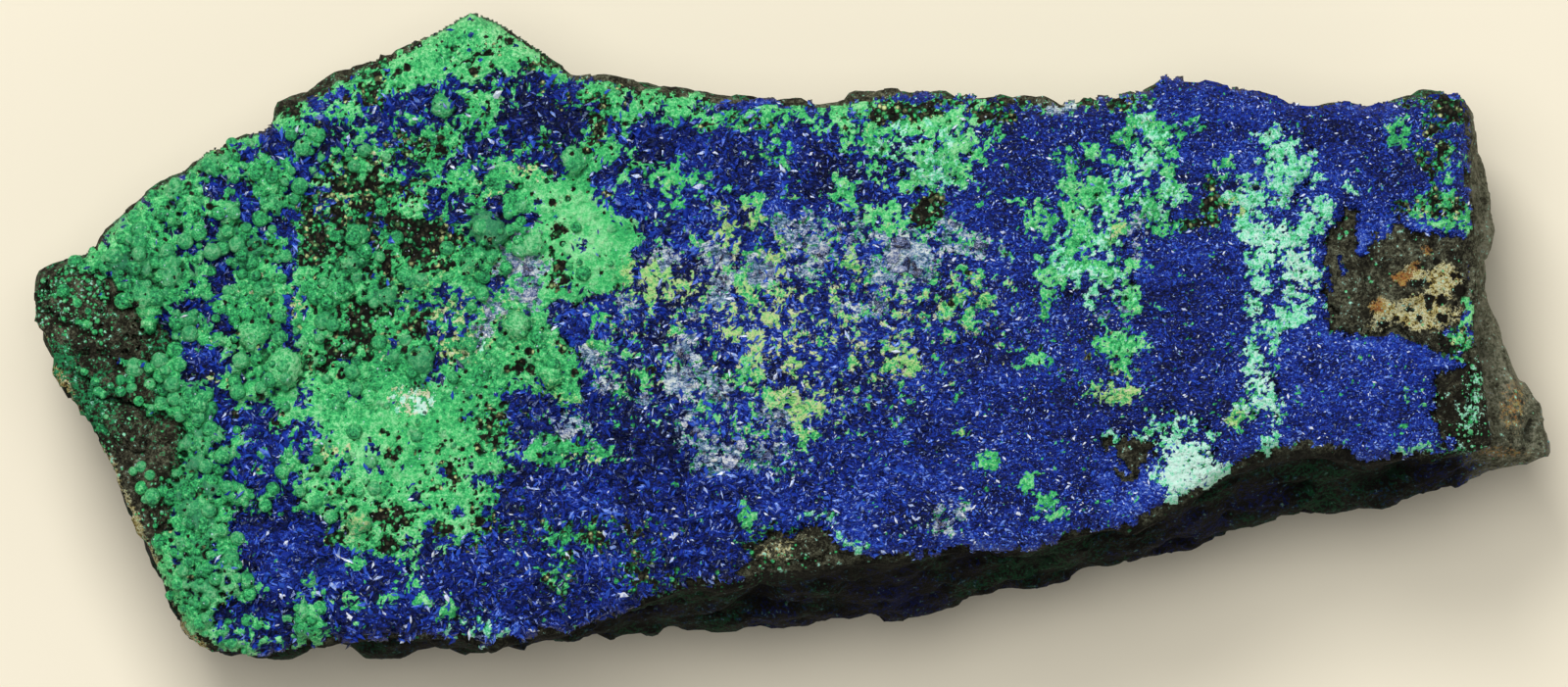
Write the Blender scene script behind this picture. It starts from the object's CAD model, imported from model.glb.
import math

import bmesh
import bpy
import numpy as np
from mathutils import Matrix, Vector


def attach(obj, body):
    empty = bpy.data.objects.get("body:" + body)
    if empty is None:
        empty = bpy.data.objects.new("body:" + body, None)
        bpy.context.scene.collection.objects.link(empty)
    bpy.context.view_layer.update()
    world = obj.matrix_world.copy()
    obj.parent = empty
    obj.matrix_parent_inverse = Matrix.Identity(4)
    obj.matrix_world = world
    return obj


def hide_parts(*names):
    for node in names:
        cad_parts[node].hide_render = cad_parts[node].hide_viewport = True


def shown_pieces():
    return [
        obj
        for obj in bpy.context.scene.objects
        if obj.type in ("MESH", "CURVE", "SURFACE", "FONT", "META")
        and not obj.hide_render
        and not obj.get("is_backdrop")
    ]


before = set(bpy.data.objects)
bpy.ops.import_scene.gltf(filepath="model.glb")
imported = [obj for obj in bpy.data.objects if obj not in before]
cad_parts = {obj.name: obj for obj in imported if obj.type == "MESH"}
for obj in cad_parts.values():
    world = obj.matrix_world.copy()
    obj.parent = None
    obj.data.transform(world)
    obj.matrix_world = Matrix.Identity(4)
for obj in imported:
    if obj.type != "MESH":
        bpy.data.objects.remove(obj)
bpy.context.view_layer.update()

# Azurite specimen: the finish of a broken slab whose upper face carries azurite and malachite.
#
# X runs along the slab (east is +X), Y across it (north is +Y) and Z out of the crusted face.
# The drawn lengths are millimetres, measured from DRAWN_CENTRE, and become metres in the meshes.

MM = 0.001
DRAWN_CENTRE = (0.077, 0.099)  # where the frame's origin lies among the drawn places
SEAT_HEIGHT = 19.3  # of the rock face under the crusts

# Grid over the upper face.
STEP = 0.15  # from one grid point to the next
LOW_X, HIGH_X = -55.5, 55.5
LOW_Y, HIGH_Y = -24.3, 24.3
WANDER = 0.28  # how far a grid point strays, as a share of STEP
EDGE_WANDER = 0.26  # how far the edges of spots stray, in millimetres

# Spots on the upper face, read by eye off the photograph in pixels and converted to millimetres.
# Each is its middle's x and y, its reach along x and y, and the share of the surface that it
# claims. These say what lies there.
BLUE_SPOTS = [
    (-39, 13.2, 0.8, 0.6, 0.8), (-36.6, 13.8, 1.2, 1.2, 0.8), (-33.4, 16.2, 1.4, 1.5, 0.75),
    (-32.4, 13.5, 1.8, 1.5, 0.75), (-34.5, 12.1, 1.9, 1, 0.8), (-29.1, 14.5, 2.1, 2.4, 0.55),
    (-41.2, 10.9, 0.9, 1, 0.85), (-39.2, 10.7, 0.7, 0.8, 0.8), (-38.7, 9, 0.8, 0.8, 0.7),
    (-34.8, 8.8, 2.2, 0.6, 0.7), (-36.6, 7.8, 1.1, 0.6, 0.75), (-41.7, 7.5, 0.6, 0.8, 0.8),
    (-42.9, 6.8, 0.8, 0.9, 0.7), (-40.5, 4.5, 0.8, 1.6, 0.85), (-35.7, 5.1, 0.5, 5.5, 0.65),
    (-43, 2.2, 1, 0.5, 0.85), (-40.7, 1, 1, 0.8, 0.85), (-44.5, 0.6, 0.6, 1.2, 0.7),
    (-41.8, -1.9, 1.7, 1.2, 0.9), (-41.1, -3.5, 0.4, 0.6, 0.8), (-40.4, -5.2, 0.7, 1.4, 0.7),
    (-38.5, -7.5, 2.5, 2.2, 0.8), (-34.8, -6.8, 1, 2.2, 0.5), (-40, -9.7, 0.7, 0.6, 0.7),
    (-41.5, -11.7, 0.6, 0.5, 0.6), (-37.1, -11.3, 1.8, 2, 0.7), (-38.2, -14.1, 1, 1.4, 0.7),
    (-36.2, -17.3, 3.8, 4.6, 0.72), (-33.4, -15.2, 1.5, 1.7, 0.6), (-30.5, -19.2, 3.5, 2.8, 0.9),
    (-26.4, -17.3, 2.5, 2.1, 0.85), (-23.6, -16.2, 2.5, 2.5, 0.8), (-20.1, -14.5, 2.8, 2.1, 0.75),
    (-20.5, 17.8, 2.2, 0.7, 0.75), (-24.7, 17.7, 1.1, 0.8, 0.6), (-26.1, 15.8, 2.7, 1.5, 0.7),
    (-18, 15.5, 3.6, 3.1, 0.85), (-16.1, 17.9, 1.4, 0.9, 0.8), (-21.2, 14.2, 1.8, 1.4, 0.7),
    (-10.3, 13.9, 1.5, 2, 0.85), (-6.8, 14.9, 0.8, 1.5, 0.8), (-5.4, 14.5, 1.3, 1.3, 0.8),
    (-2.6, 15.1, 1.5, 0.9, 0.75), (-21.1, 9.4, 0.5, 0.7, 0.7), (-19.6, 8.4, 0.9, 0.4, 0.7),
    (-24.7, 8.5, 1.2, 1.7, 0.55), (-27.8, 10.4, 0.5, 0.8, 0.7), (-20.8, 3.7, 0.8, 0.8, 0.7),
    (-24.3, 1.5, 1.5, 1.7, 0.5), (-25, -2, 0.8, 0.9, 0.7), (-19.3, -5.5, 1, 2.1, 0.85),
    (-18.4, -8.9, 2, 0.6, 0.5), (-20.5, -10.3, 2.1, 0.8, 0.55), (-13.1, 14.9, 0.8, 0.6, 0.8),
    (-11.4, 16.3, 0.8, 0.6, 0.5), (-22.9, 10, 0.8, 1.3, 0.6), (-23.6, 12.1, 1.4, 1.1, 0.5),
    (-26.4, 12.8, 1.4, 1.1, 0.5), (-30.3, 8.3, 1, 1.4, 0.4), (-33.4, 10, 1.4, 0.8, 0.6),
    (-37.8, 0.6, 1, 1.1, 0.5), (-38.2, -3.6, 0.8, 1.4, 0.5), (-18.4, -12.4, 2.5, 1.8, 0.7),
    (-14.5, -15.9, 3.2, 2.8, 0.9), (-12.1, 10.6, 1.8, 1.7, 0.85), (-10.9, 9, 0.6, 0.6, 0.6),
    (-16.5, 1.3, 1, 0.7, 0.7), (-14.5, 1.8, 0.7, 0.6, 0.6), (-44, -0.9, 0.7, 0.6, 0.8),
    (-37.6, -14, 1.6, 1.2, 0.7),
]
GREEN_SPOTS = [
    (26.1, 13.5, 1.5, 2, 0.75), (27, 10.4, 1.1, 1, 0.9), (26.5, 7.7, 0.8, 0.8, 0.8),
    (21.2, 12.5, 2.2, 0.8, 0.4), (21.3, 10, 2, 1.5, 0.6), (19.1, 4.9, 1.5, 1.4, 0.7),
    (24, 5.3, 1.6, 0.5, 0.5), (24, 2.9, 0.8, 1.4, 0.6), (-34.2, -20.4, 1.4, 1.6, 0.98),
    (-31.3, -16.3, 0.6, 0.6, 1), (-31.4, -18.9, 0.6, 0.6, 0.9), (-29, -18.6, 0.6, 0.6, 0.95),
    (-24.5, -19.6, 0.7, 0.6, 0.95), (-38.3, -18, 0.5, 0.5, 1), (-27.5, -17.2, 1.4, 1, 0.35),
    (-26.3, -18.8, 1.2, 0.8, 0.35), (-33.5, -17.2, 1.2, 1, 0.4), (-13.7, 13.1, 2.2, 0.6, 0.8),
    (-16.5, -8.5, 3.5, 0.8, 0.75), (-15.1, -14.1, 2.1, 0.8, 0.5), (-16.8, -16.6, 0.7, 1.5, 0.5),
    (-3.3, -12.7, 0.7, 0.7, 0.95), (-5.8, 15.6, 2.8, 0.8, 0.7), (-1.9, 15.5, 2, 0.6, 0.7),
    (0, 16, 1.4, 0.7, 0.8), (2.6, 15.3, 1, 0.7, 0.6), (4.4, 15.9, 2.8, 1.1, 0.75),
    (6.5, 14.8, 3.5, 1.5, 0.8), (8.9, 15.3, 2.8, 1, 0.85), (10.7, 12.8, 2.4, 2.4, 0.85),
    (11.7, 14.2, 1.5, 2, 0.85), (9.6, 11.4, 1.7, 1, 0.9), (12.4, 11.1, 1, 0.8, 0.85),
    (12.8, 13.5, 1.1, 1, 0.7), (-0.9, 13.4, 1, 1.1, 0.8), (5.8, 11.7, 0.8, 0.9, 0.8),
    (3.9, 10.3, 1, 1.2, 0.95), (6.6, 9.1, 1.1, 0.8, 0.9), (7, 7.9, 1.1, 0.9, 0.9),
    (4.2, 5.7, 0.6, 1.3, 0.85), (7.9, 10.7, 0.7, 0.5, 0.8), (10.3, 1.5, 1, 0.7, 0.55),
    (11, 2.2, 0.6, 0.8, 0.7), (12.8, 1.2, 0.8, 0.5, 0.95), (14.1, 2.6, 0.6, 0.9, 0.95),
    (12.1, 3, 0.8, 0.8, 0.7), (12.8, 4.6, 0.8, 0.6, 0.75), (11.7, 3.7, 0.6, 0.6, 0.7),
    (7.3, -1.9, 0.8, 0.9, 0.85), (8.7, -1.7, 0.6, 0.9, 0.9), (8, -0.5, 0.5, 0.7, 0.8),
    (17.3, -1.6, 0.8, 0.6, 0.9), (23.5, -0.6, 1.5, 0.8, 0.9), (23.7, -2.3, 0.7, 0.6, 0.9),
    (24.3, -3.6, 1.1, 0.7, 0.6), (23.3, -4, 1.7, 0.8, 0.5), (16.3, 9.7, 0.8, 0.4, 0.8),
    (17.7, 8.4, 1.1, 1.2, 0.8), (19.4, 5.7, 1.1, 0.6, 0.9), (18.6, 4.2, 1.2, 0.8, 0.95),
    (19.8, 12.3, 0.8, 0.5, 0.7), (19.5, 11, 0.6, 0.6, 0.8), (20.8, 10.3, 1.3, 1.1, 0.9),
    (22.4, 9.7, 1.1, 0.6, 0.9), (20.2, 8.3, 0.9, 1.1, 0.85), (20.8, 6.8, 1, 1.1, 0.9),
    (22.2, 6.9, 0.7, 0.6, 0.85), (20.5, 5.6, 0.8, 0.6, 0.8), (22.2, 4.7, 0.6, 1, 0.85),
    (23.8, 5, 1, 0.5, 0.8), (23.8, 3.6, 0.4, 1, 0.85), (24, 2.3, 0.8, 0.9, 0.85),
    (18.4, 2.7, 0.5, 1, 0.85), (22.9, 12.8, 0.9, 0.5, 0.8), (24.2, 15.3, 0.6, 0.8, 0.8),
    (24, 14.2, 1.1, 0.6, 0.7), (21.2, 13.2, 1, 0.6, 0.6), (1.2, -5, 1.3, 1.1, 0.8),
    (-1.2, -4.8, 0.9, 0.8, 0.75), (0.5, -6.3, 0.6, 0.7, 0.8), (1.5, -7.2, 0.9, 0.7, 0.9),
    (12.4, -6.8, 0.6, 0.5, 0.9), (14.2, -8.9, 0.7, 0.6, 0.9), (16.9, -10.3, 0.6, 0.6, 0.95),
    (18, -11.7, 0.8, 0.6, 0.8), (18.9, -12.7, 0.9, 0.5, 0.85), (28.5, 14.9, 0.8, 0.6, 0.75),
    (31, 11.9, 0.7, 0.8, 0.6), (31.8, -6.2, 0.7, 0.6, 0.7), (32.2, -5.4, 0.6, 0.6, 0.85),
    (25, 10, 0.6, 0.7, 0.8), (25.5, 8.8, 0.7, 0.9, 0.8), (26.8, 7.8, 0.7, 0.8, 0.9),
    (26.1, 8.3, 0.7, 0.6, 0.7), (14.3, 14.6, 0.8, 0.7, 0.5), (13.5, 15.8, 1.1, 0.6, 0.4),
    (43.6, 14.6, 1, 0.9, 0.6), (43.4, 13.8, 0.6, 0.5, 0.85), (47.1, 12.1, 1.3, 1.5, 0.4),
    (45, 9.3, 1, 0.6, 0.6), (46.9, 10, 0.8, 0.7, 0.6), (47.1, 8.3, 1.2, 0.8, 0.85),
    (48.1, 9.2, 0.6, 1, 0.85), (48.3, 7.8, 0.4, 1, 0.9), (48.3, 5.7, 0.4, 1, 0.7),
    (48.1, 1.8, 0.9, 0.7, 0.85), (48.1, -0.1, 0.5, 1, 0.5), (-11, 11.7, 2.1, 0.7, 0.7),
    (-8.2, 10.9, 2.7, 1.4, 0.75), (-5.1, 8.9, 0.7, 0.8, 0.8), (-2.8, 9.6, 0.8, 0.8, 0.75),
    (-2.3, 8.5, 0.5, 0.8, 0.8), (-4.4, 7.9, 1, 0.5, 0.75), (-5.7, 7.4, 1.4, 0.3, 0.8),
    (-3.3, 4.1, 1.5, 1.1, 0.85), (-4.6, 5, 0.6, 0.7, 0.6), (-11.7, 4.4, 1, 1, 0.9),
    (-9.5, 4.1, 1.7, 1.3, 0.85), (-7.4, 3.7, 1, 0.8, 0.75), (-1.7, 1.4, 0.9, 0.4, 0.75),
    (-3.9, 0.2, 0.6, 0.7, 0.8), (-2.1, 0, 0.4, 0.9, 0.8), (1, 2.7, 0.7, 0.8, 0.7),
    (-2.9, -2.9, 1.1, 1.4, 0.9), (-0.1, -3.8, 0.8, 0.6, 0.6), (-13.4, -0.5, 1.1, 0.4, 0.8),
    (-16.6, -2.2, 0.8, 1, 0.95), (-15.6, -4.1, 0.8, 0.6, 0.85), (-10.6, -2.5, 0.8, 0.6, 0.8),
    (-12.1, -3.7, 0.5, 0.8, 0.7), (-13.5, 0.9, 1, 0.6, 0.6), (3.3, 10.3, 0.4, 0.8, 0.9),
]
MINT_SPOTS = [
    (28.4, -9.6, 2, 1.9, 1.1), (-26.9, -4.6, 1.5, 0.7, 0.85), (-22.1, -0.2, 0.6, 0.6, 1.1),
    (25.7, 13.5, 0.9, 1.1, 0.4), (26.6, 13.4, 0.9, 1, 0.45), (25.2, 15.5, 0.6, 0.7, 0.5),
    (25.4, 12.3, 0.7, 0.7, 0.4), (26.8, 10.7, 1.1, 0.8, 0.6), (27.3, 9.8, 0.7, 0.6, 0.8),
    (25.2, 14.2, 0.6, 0.6, 0.7), (33.4, 14.4, 0.5, 0.6, 0.9), (34.8, 13.2, 1.4, 1.2, 0.95),
    (34.3, 14.1, 1, 0.7, 0.9), (36.2, 11.8, 1.2, 0.8, 0.95), (37.1, 12.8, 0.4, 1, 0.9),
    (34.5, 12, 1, 0.7, 0.8), (33.4, 10.7, 0.9, 0.6, 0.85), (34.8, 10.7, 1.2, 0.5, 0.8),
    (32.4, 11, 0.6, 0.6, 0.8), (32.7, 9.7, 1.1, 0.7, 0.95), (31.3, 9.8, 0.8, 0.5, 0.9),
    (34.1, 9.5, 0.6, 0.6, 0.8), (32.5, 8.1, 0.8, 1.1, 0.98), (33.4, 7.4, 1.1, 0.8, 0.98),
    (37.3, 8.2, 1.1, 0.8, 0.95), (38.5, 9, 0.6, 0.6, 0.85), (37.6, 9.3, 0.8, 0.6, 0.9),
    (35.7, 7.2, 1.3, 0.6, 0.9), (34.5, 6.8, 1.4, 0.9, 0.95), (33.9, 6, 0.8, 0.6, 0.9),
    (36.2, 5.5, 1.3, 0.9, 0.95), (36.6, 4.3, 1.2, 1, 0.95), (35.9, 3.3, 0.8, 0.7, 0.9),
    (33.1, 5.3, 0.8, 0.7, 0.8), (33.5, 3.9, 0.9, 0.8, 0.9), (32.9, 2.3, 0.6, 0.8, 0.9),
    (36, 1.8, 1.1, 0.7, 0.85), (37.6, 2.3, 0.7, 0.4, 0.7), (34.7, 1.3, 0.8, 0.6, 0.75),
    (34.1, 0.1, 0.8, 0.6, 0.8), (32.7, -0.6, 0.6, 0.6, 0.85), (32.7, -1.3, 0.8, 0.6, 0.95),
    (33.1, -2.1, 0.7, 0.7, 0.95), (33.4, -3.3, 0.6, 0.8, 0.95), (33.9, -4.7, 1.1, 0.7, 0.98),
    (32.2, -5.4, 0.6, 0.5, 0.85), (34.6, -5.2, 0.6, 0.4, 0.9), (34.5, -6.2, 0.5, 0.7, 0.6),
    (34.7, -7, 0.5, 0.6, 0.8), (34.2, -7.9, 0.8, 0.6, 0.95), (33.8, -8.3, 0.6, 0.4, 0.9),
    (40.1, 10.7, 1, 0.6, 0.4), (37.3, 10.9, 0.6, 0.6, 0.7), (28.5, -8.9, 1.3, 1.1, 1),
    (27.3, -7.8, 0.7, 0.8, 0.95), (29.4, -9.4, 0.9, 0.8, 1), (27.8, -10.3, 1.5, 0.8, 0.95),
    (30.1, -10.1, 1.1, 0.7, 0.85), (26.8, -6.8, 0.6, 0.6, 0.9), (25.9, -6.2, 0.6, 0.6, 0.8),
    (24.9, -7.2, 0.6, 0.4, 0.8), (27.5, -11.8, 0.8, 0.6, 0.8), (28.7, -11, 1, 0.6, 0.8),
    (30.6, -9.4, 0.7, 0.6, 0.8), (25.5, -7.5, 0.5, 0.4, 0.8), (26.4, -7.5, 0.6, 0.5, 0.9),
    (29.2, -12, 1, 0.7, 0.4), (22.9, -7, 1, 0.5, 0.5), (43.2, -8.2, 1.3, 0.3, 0.6),
    (45, -7.9, 1.1, 0.3, 0.6), (2.1, -12.6, 0.9, 0.4, 0.85), (2.8, -13.4, 0.4, 0.6, 0.7),
    (3.7, -14.2, 0.7, 0.5, 0.6), (4.4, -14.8, 0.8, 0.6, 0.5), (3.3, -15.2, 0.7, 0.6, 0.5),
]
CREAM_SPOTS = [
    (-34.2, 8.6, 0.7, 1.3, 0.35), (-21.7, 10.8, 0.8, 0.8, 0.35), (-18.7, 11.7, 1.2, 0.8, 0.3),
    (-35.3, 2.4, 0.6, 1.8, 0.35), (-23.6, -0.2, 1.3, 1.6, 0.4), (-24.8, 1.8, 1.2, 1, 0.35),
    (-29.5, -0.8, 1.2, 0.7, 0.3), (-37.5, 3.6, 1.3, 1.3, 0.22), (-30, 11, 2.5, 3, 0.1),
    (-33, -8, 1.2, 0.9, 0.35), (-42.6, 0.2, 1, 0.7, 0.45), (-41.2, -3, 1.5, 0.4, 0.3),
    (-36.3, 2.5, 1, 1.3, 0.2), (-27, -4.6, 1.4, 0.9, 0.5), (-22.6, 0.3, 0.7, 0.8, 0.5),
    (-23.8, -0.8, 1.1, 1.2, 0.6), (-0.5, -4.7, 1, 0.8, 0.45), (-2.8, -6.8, 1, 0.6, 0.3),
    (-20.8, 2.3, 1.3, 0.8, 0.4), (31.5, 9.7, 0.8, 0.4, 0.6), (31.8, 9.2, 0.6, 0.5, 0.6),
    (23.6, 7.6, 0.7, 0.8, 0.3), (-15.2, -8.9, 1.4, 0.4, 0.3), (24, -4.3, 1, 0.4, 0.5),
    (47.8, -0.6, 0.7, 0.6, 0.4), (-1.9, 5.6, 1.2, 0.4, 0.75), (-3, 3.2, 1, 0.4, 0.5),
]
PALE_SPOTS = [
    (-18.9, 4.3, 1.4, 2, 0.55), (-21.5, 1.5, 0.8, 0.8, 0.5), (-22.2, 0.2, 0.7, 0.8, 0.6),
    (-1.2, -5.9, 0.8, 0.6, 0.85), (-4.4, -8.9, 2, 0.8, 0.6), (-15.9, -6.8, 1.7, 0.9, 0.5),
    (8.2, 5.7, 1.8, 1.5, 0.9), (10.8, 5.7, 0.8, 0.8, 0.5), (11, 7.8, 1, 0.6, 0.5),
    (13.5, 6.4, 1.1, 0.7, 0.45), (19.2, 16.3, 0.8, 0.5, 0.7), (11.2, -13.1, 1.4, 0.8, 0.45),
    (5.1, 2, 1.7, 0.7, 0.35), (-3, -8.2, 2.4, 1.4, 0.35), (4.4, 7.2, 2.1, 1.1, 0.3),
    (6.5, 2.3, 0.8, 0.6, 0.4), (25, 7.2, 0.6, 1, 0.4), (22.9, 1.5, 1.1, 0.3, 0.4),
    (-6.1, -6.8, 2.1, 1.1, 0.3), (-9.2, 5.7, 1.2, 0.6, 0.7), (-5.4, 5.7, 0.8, 1.1, 0.7),
    (-5, 3.7, 0.6, 1.1, 0.85), (-2.1, 4.7, 0.9, 0.8, 0.85), (0.5, 7.8, 1.7, 0.8, 0.7),
    (1.6, 5.7, 1.1, 1.2, 0.65), (-12.1, 2.5, 0.7, 0.5, 0.5), (-7, 1.6, 0.4, 0.6, 0.6),
    (-7.5, -0.8, 0.7, 1, 0.8), (-13.7, -1.5, 1.1, 0.6, 0.75), (-7.5, -3.1, 1.3, 0.8, 0.75),
    (-5.4, -4, 1.3, 0.6, 0.7), (-13.1, -3.6, 0.7, 0.6, 0.65), (-10.7, -4.3, 0.7, 0.4, 0.4),
]
DARK_SPOTS = [
    (-33.6, 6.1, 1.3, 1.1, 0.7), (-30.6, 9.2, 2.2, 2.2, 0.5), (-28.4, 7.9, 1.3, 3.6, 0.45),
    (-31.2, 1.1, 0.8, 1.3, 0.55), (-26.4, 6.2, 2.1, 1.4, 0.55), (-16.8, 7.5, 0.5, 0.8, 0.8),
    (-16.8, 4.4, 0.5, 1.3, 0.75), (-29.9, 12.1, 1.1, 1, 0.35), (-30.1, 18.8, 1.1, 0.8, 0.6),
    (-36.2, 16.5, 0.7, 0.5, 0.6), (-33.4, -2, 1.7, 1, 0.4), (-13.8, 16.7, 1.1, 1, 0.4),
    (-11, 17.2, 2.8, 1, 0.3), (-4.4, 15.3, 2.1, 0.6, 0.25), (-17.3, 19.7, 1.1, 0.6, 0.3),
    (-27.3, 20.8, 0.6, 0.4, 0.7), (-21.5, 19.8, 2.8, 1.4, 0.12), (9.6, 8.9, 1, 1, 0.95),
    (29.9, 11, 0.4, 0.5, 0.95), (30.1, 9.6, 0.7, 0.6, 0.95), (28.9, 7.9, 0.8, 0.4, 0.95),
    (30.1, 8.2, 0.6, 0.5, 0.9), (6.8, 15.9, 1, 0.6, 0.8), (9.3, 16.2, 1.3, 0.6, 0.85),
    (14.3, 15.9, 1.2, 0.5, 0.7), (15.2, 15.4, 0.7, 0.4, 0.6), (23.3, 16.6, 1.3, 0.3, 0.7),
    (17.3, 16.6, 1.3, 0.4, 0.7), (4, 15.6, 0.8, 0.8, 0.3), (46, 12.8, 1, 1.5, 0.5),
    (47.8, 16.3, 1.1, 1.1, 0.5), (45, 17, 1.3, 0.6, 0.4), (46.5, 16, 1.1, 1, 0.75),
    (46.4, 9.7, 1.1, 1.1, 0.5), (47.1, 3.7, 1.1, 0.7, 0.4), (47.1, -0.1, 1, 0.8, 0.5),
    (43.6, 9, 0.7, 0.6, 0.5), (-42.5, 10.6, 3.2, 1.8, 0.08), (-46, 10, 1.4, 2.1, 0.1),
    (-47.4, 10.7, 1.4, 0.7, 0.2), (-27.1, -11, 4.9, 3.5, 0.05), (-21.2, -6.1, 1.5, 1.7, 0.35),
    (-25, -8.9, 3.2, 2.8, 0.07), (-22.9, -12.4, 3.5, 2.8, 0.1), (-29.9, -13.4, 2.1, 2.1, 0.1),
    (-13.8, -13.8, 4.2, 1.1, 0.35), (-16.6, -17.3, 1, 1.7, 0.3), (-11, -16.6, 1.4, 1.4, 0.5),
    (-8.2, -17.6, 2.1, 0.7, 0.4), (-42.5, -18, 2.8, 2.1, 0.12), (-39.7, 13.5, 2.1, 0.8, 0.14),
    (-21.5, 15.6, 2.1, 2.1, 0.12), (-11.7, 17, 4.2, 1.4, 0.2), (-16.6, 13.5, 2.1, 0.7, 0.3),
    (-1.2, -15.2, 2.1, 1.4, 0.4), (23.6, 16.8, 2.1, 0.3, 0.5), (10.7, 16.7, 2.1, 0.4, 0.5),
    (21.2, -1.2, 4.2, 2.8, 0.06), (-29.7, 18.9, 0.8, 0.8, 0.7), (-29.9, 17.4, 1.2, 1.1, 0.55),
    (-26.8, 13.1, 1.9, 0.9, 0.5), (-30.5, 10.9, 2.5, 1.4, 0.6), (-34, 7.9, 1.3, 2, 0.6),
    (-26.3, 6.9, 2.2, 2, 0.75), (-29.2, 4.9, 1, 1.7, 0.6), (-33.4, 5, 0.8, 0.9, 0.5),
    (-28.5, -8.6, 0.5, 0.4, 0.9), (-24.2, -9.4, 0.6, 0.6, 0.95), (-27.9, -12.9, 1.2, 0.9, 0.75),
    (-29.6, -12.6, 0.6, 0.5, 0.6), (-32.3, -14.2, 0.6, 0.5, 0.7), (-28.9, -14.8, 0.5, 0.6, 0.7),
    (-25.2, -13.9, 0.6, 0.5, 0.85), (-21.5, -13.4, 1, 0.7, 0.6), (-21.4, -7.2, 0.9, 0.8, 0.6),
    (-33.6, 17.7, 0.6, 0.4, 0.7), (-35.9, 16.1, 0.8, 0.4, 0.7), (-22.4, 20.4, 1, 0.5, 0.35),
    (-27.6, 13.8, 0.5, 0.9, 0.75), (-25.4, 13.2, 1, 0.4, 0.65), (-14, 15.2, 0.8, 1.2, 0.5),
    (-17.3, 17.9, 0.6, 0.6, 0.45), (-30.8, 0.6, 1.4, 1.7, 0.7), (-33.3, -1.9, 1.4, 1, 0.6),
    (-26.5, 1.1, 0.6, 1.5, 0.6), (-33.4, 2, 0.6, 1, 0.5),
]

# Where the azurite, the mint and the malachite are paler, darker or of another tint.
BRIGHT_BLUE = [
    (35, 8, 4, 7, 0.3), (34, -2, 3, 4, 0.3),
    (42, 7.9, 1.3, 1, 1), (40.9, 6.9, 0.6, 0.7, 1), (41.5, 6.2, 0.4, 0.6, 1),
    (45, 8.1, 1, 0.6, 0.8), (41.5, -0.5, 3.5, 0.6, 0.9), (38.1, 0.5, 0.8, 0.6, 0.8),
    (45.3, -0.5, 2.1, 0.7, 0.6), (22.6, -10.3, 0.8, 2.1, 0.8), (24, -12, 1.4, 1, 0.9),
    (25.4, -10.6, 1.1, 1.1, 0.7), (22.2, -8.9, 0.7, 0.7, 0.6), (3.7, -14.1, 1.4, 1, 0.8),
    (41.5, -7.5, 4.2, 1, 0.35), (41.5, -5.4, 5.6, 3.5, 0.25), (36.6, -5.7, 2.1, 2.8, 0.2),
    (5.1, -15.2, 4.2, 0.8, 0.35), (13.5, -14.5, 4.2, 1.1, 0.3), (45.7, -2.6, 1.1, 1.4, 0.5),
    (36.6, -7.8, 2.1, 0.6, 0.5), (32, -9.2, 1.4, 0.7, 0.5), (31.3, 6.5, 1.4, 1.4, 0.2),
    (-11.7, -14.8, 2.8, 2.1, 0.3), (26.8, -8.9, 0.7, 0.7, 0.3), (26.4, -10.3, 1.4, 1, 0.7),
]
WHITE_SPOTS = [
    (28.5, -9.7, 2.2, 2, 1.1), (-26.9, -4.6, 1.4, 0.7, 1), (-22.1, -0.2, 0.6, 0.6, 1),
    (33.5, -4.5, 1.5, 3, 0.5), (36.2, 4.8, 1.4, 1.6, 0.6), (34.2, 7, 2, 1, 0.4),
]
NAVY = [
    (-18, 15.3, 4.2, 3.5, 0.8), (3.7, 12.1, 3.5, 2.8, 0.6), (1.9, 14.2, 2.1, 1.8, 0.6),
    (10.7, 6.5, 3.5, 2.8, 0.5), (16.3, 14.9, 2.8, 2.8, 0.4), (27.5, 0.9, 4.2, 4.2, 0.35),
    (29.6, 11.4, 2.8, 2.8, 0.3), (-10.3, 13.5, 2.1, 2.1, 0.6), (6.5, 12.8, 2.1, 1.4, 0.6),
    (-25.7, 15.6, 2.8, 1.8, 0.5), (-32.7, 13.5, 2.8, 2.1, 0.4), (21.2, -6.8, 4.2, 2.8, 0.4),
    (26.1, -6.8, 4.2, 3.5, 0.3), (30.3, -5.4, 2.8, 2.1, 0.4), (-30.6, -19, 3.5, 2.8, 0.3),
    (-15.2, -16.6, 3.5, 2.8, 0.3), (-8.9, 6.5, 3.5, 4.2, 0.3), (12.1, 7.2, 2.8, 2.1, 0.4),
    (3, 14.9, 2.8, 2.1, 0.5), (35.9, 14.9, 2.8, 1.4, 0.4),
]
BRIGHT_GREEN = [
    (-27.5, -11, 6.3, 4.2, 0.8), (-29.9, -6.8, 4.2, 3.5, 0.8), (-24.3, -13.8, 4.2, 2.8, 0.8),
    (-21.9, 19.8, 5.6, 2.5, 0.8), (-14.5, 7.2, 4.9, 4.2, 0.9), (-10.3, 16.3, 4.9, 1.4, 0.6),
    (-39.7, -18, 2.1, 3.5, 0.6), (-38, 9.3, 4.2, 2.8, 0.3), (-39.7, -4.7, 2.1, 2.8, 0.6),
    (8.6, 13.5, 6.3, 3.5, 0.7), (20.5, 7.9, 5.6, 6.3, 0.3), (24, -1.9, 2.1, 2.8, 0.3),
    (-40.4, -21.5, 4.2, 1.4, 0.6), (-34.1, -20.1, 2.1, 2.1, 0.6), (-32, 11.4, 3.5, 3.5, 0.3),
    (-42.5, 5.1, 3.5, 2.1, 0.5), (-35.5, -3.3, 4.2, 2.1, 0.6),
]
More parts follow.
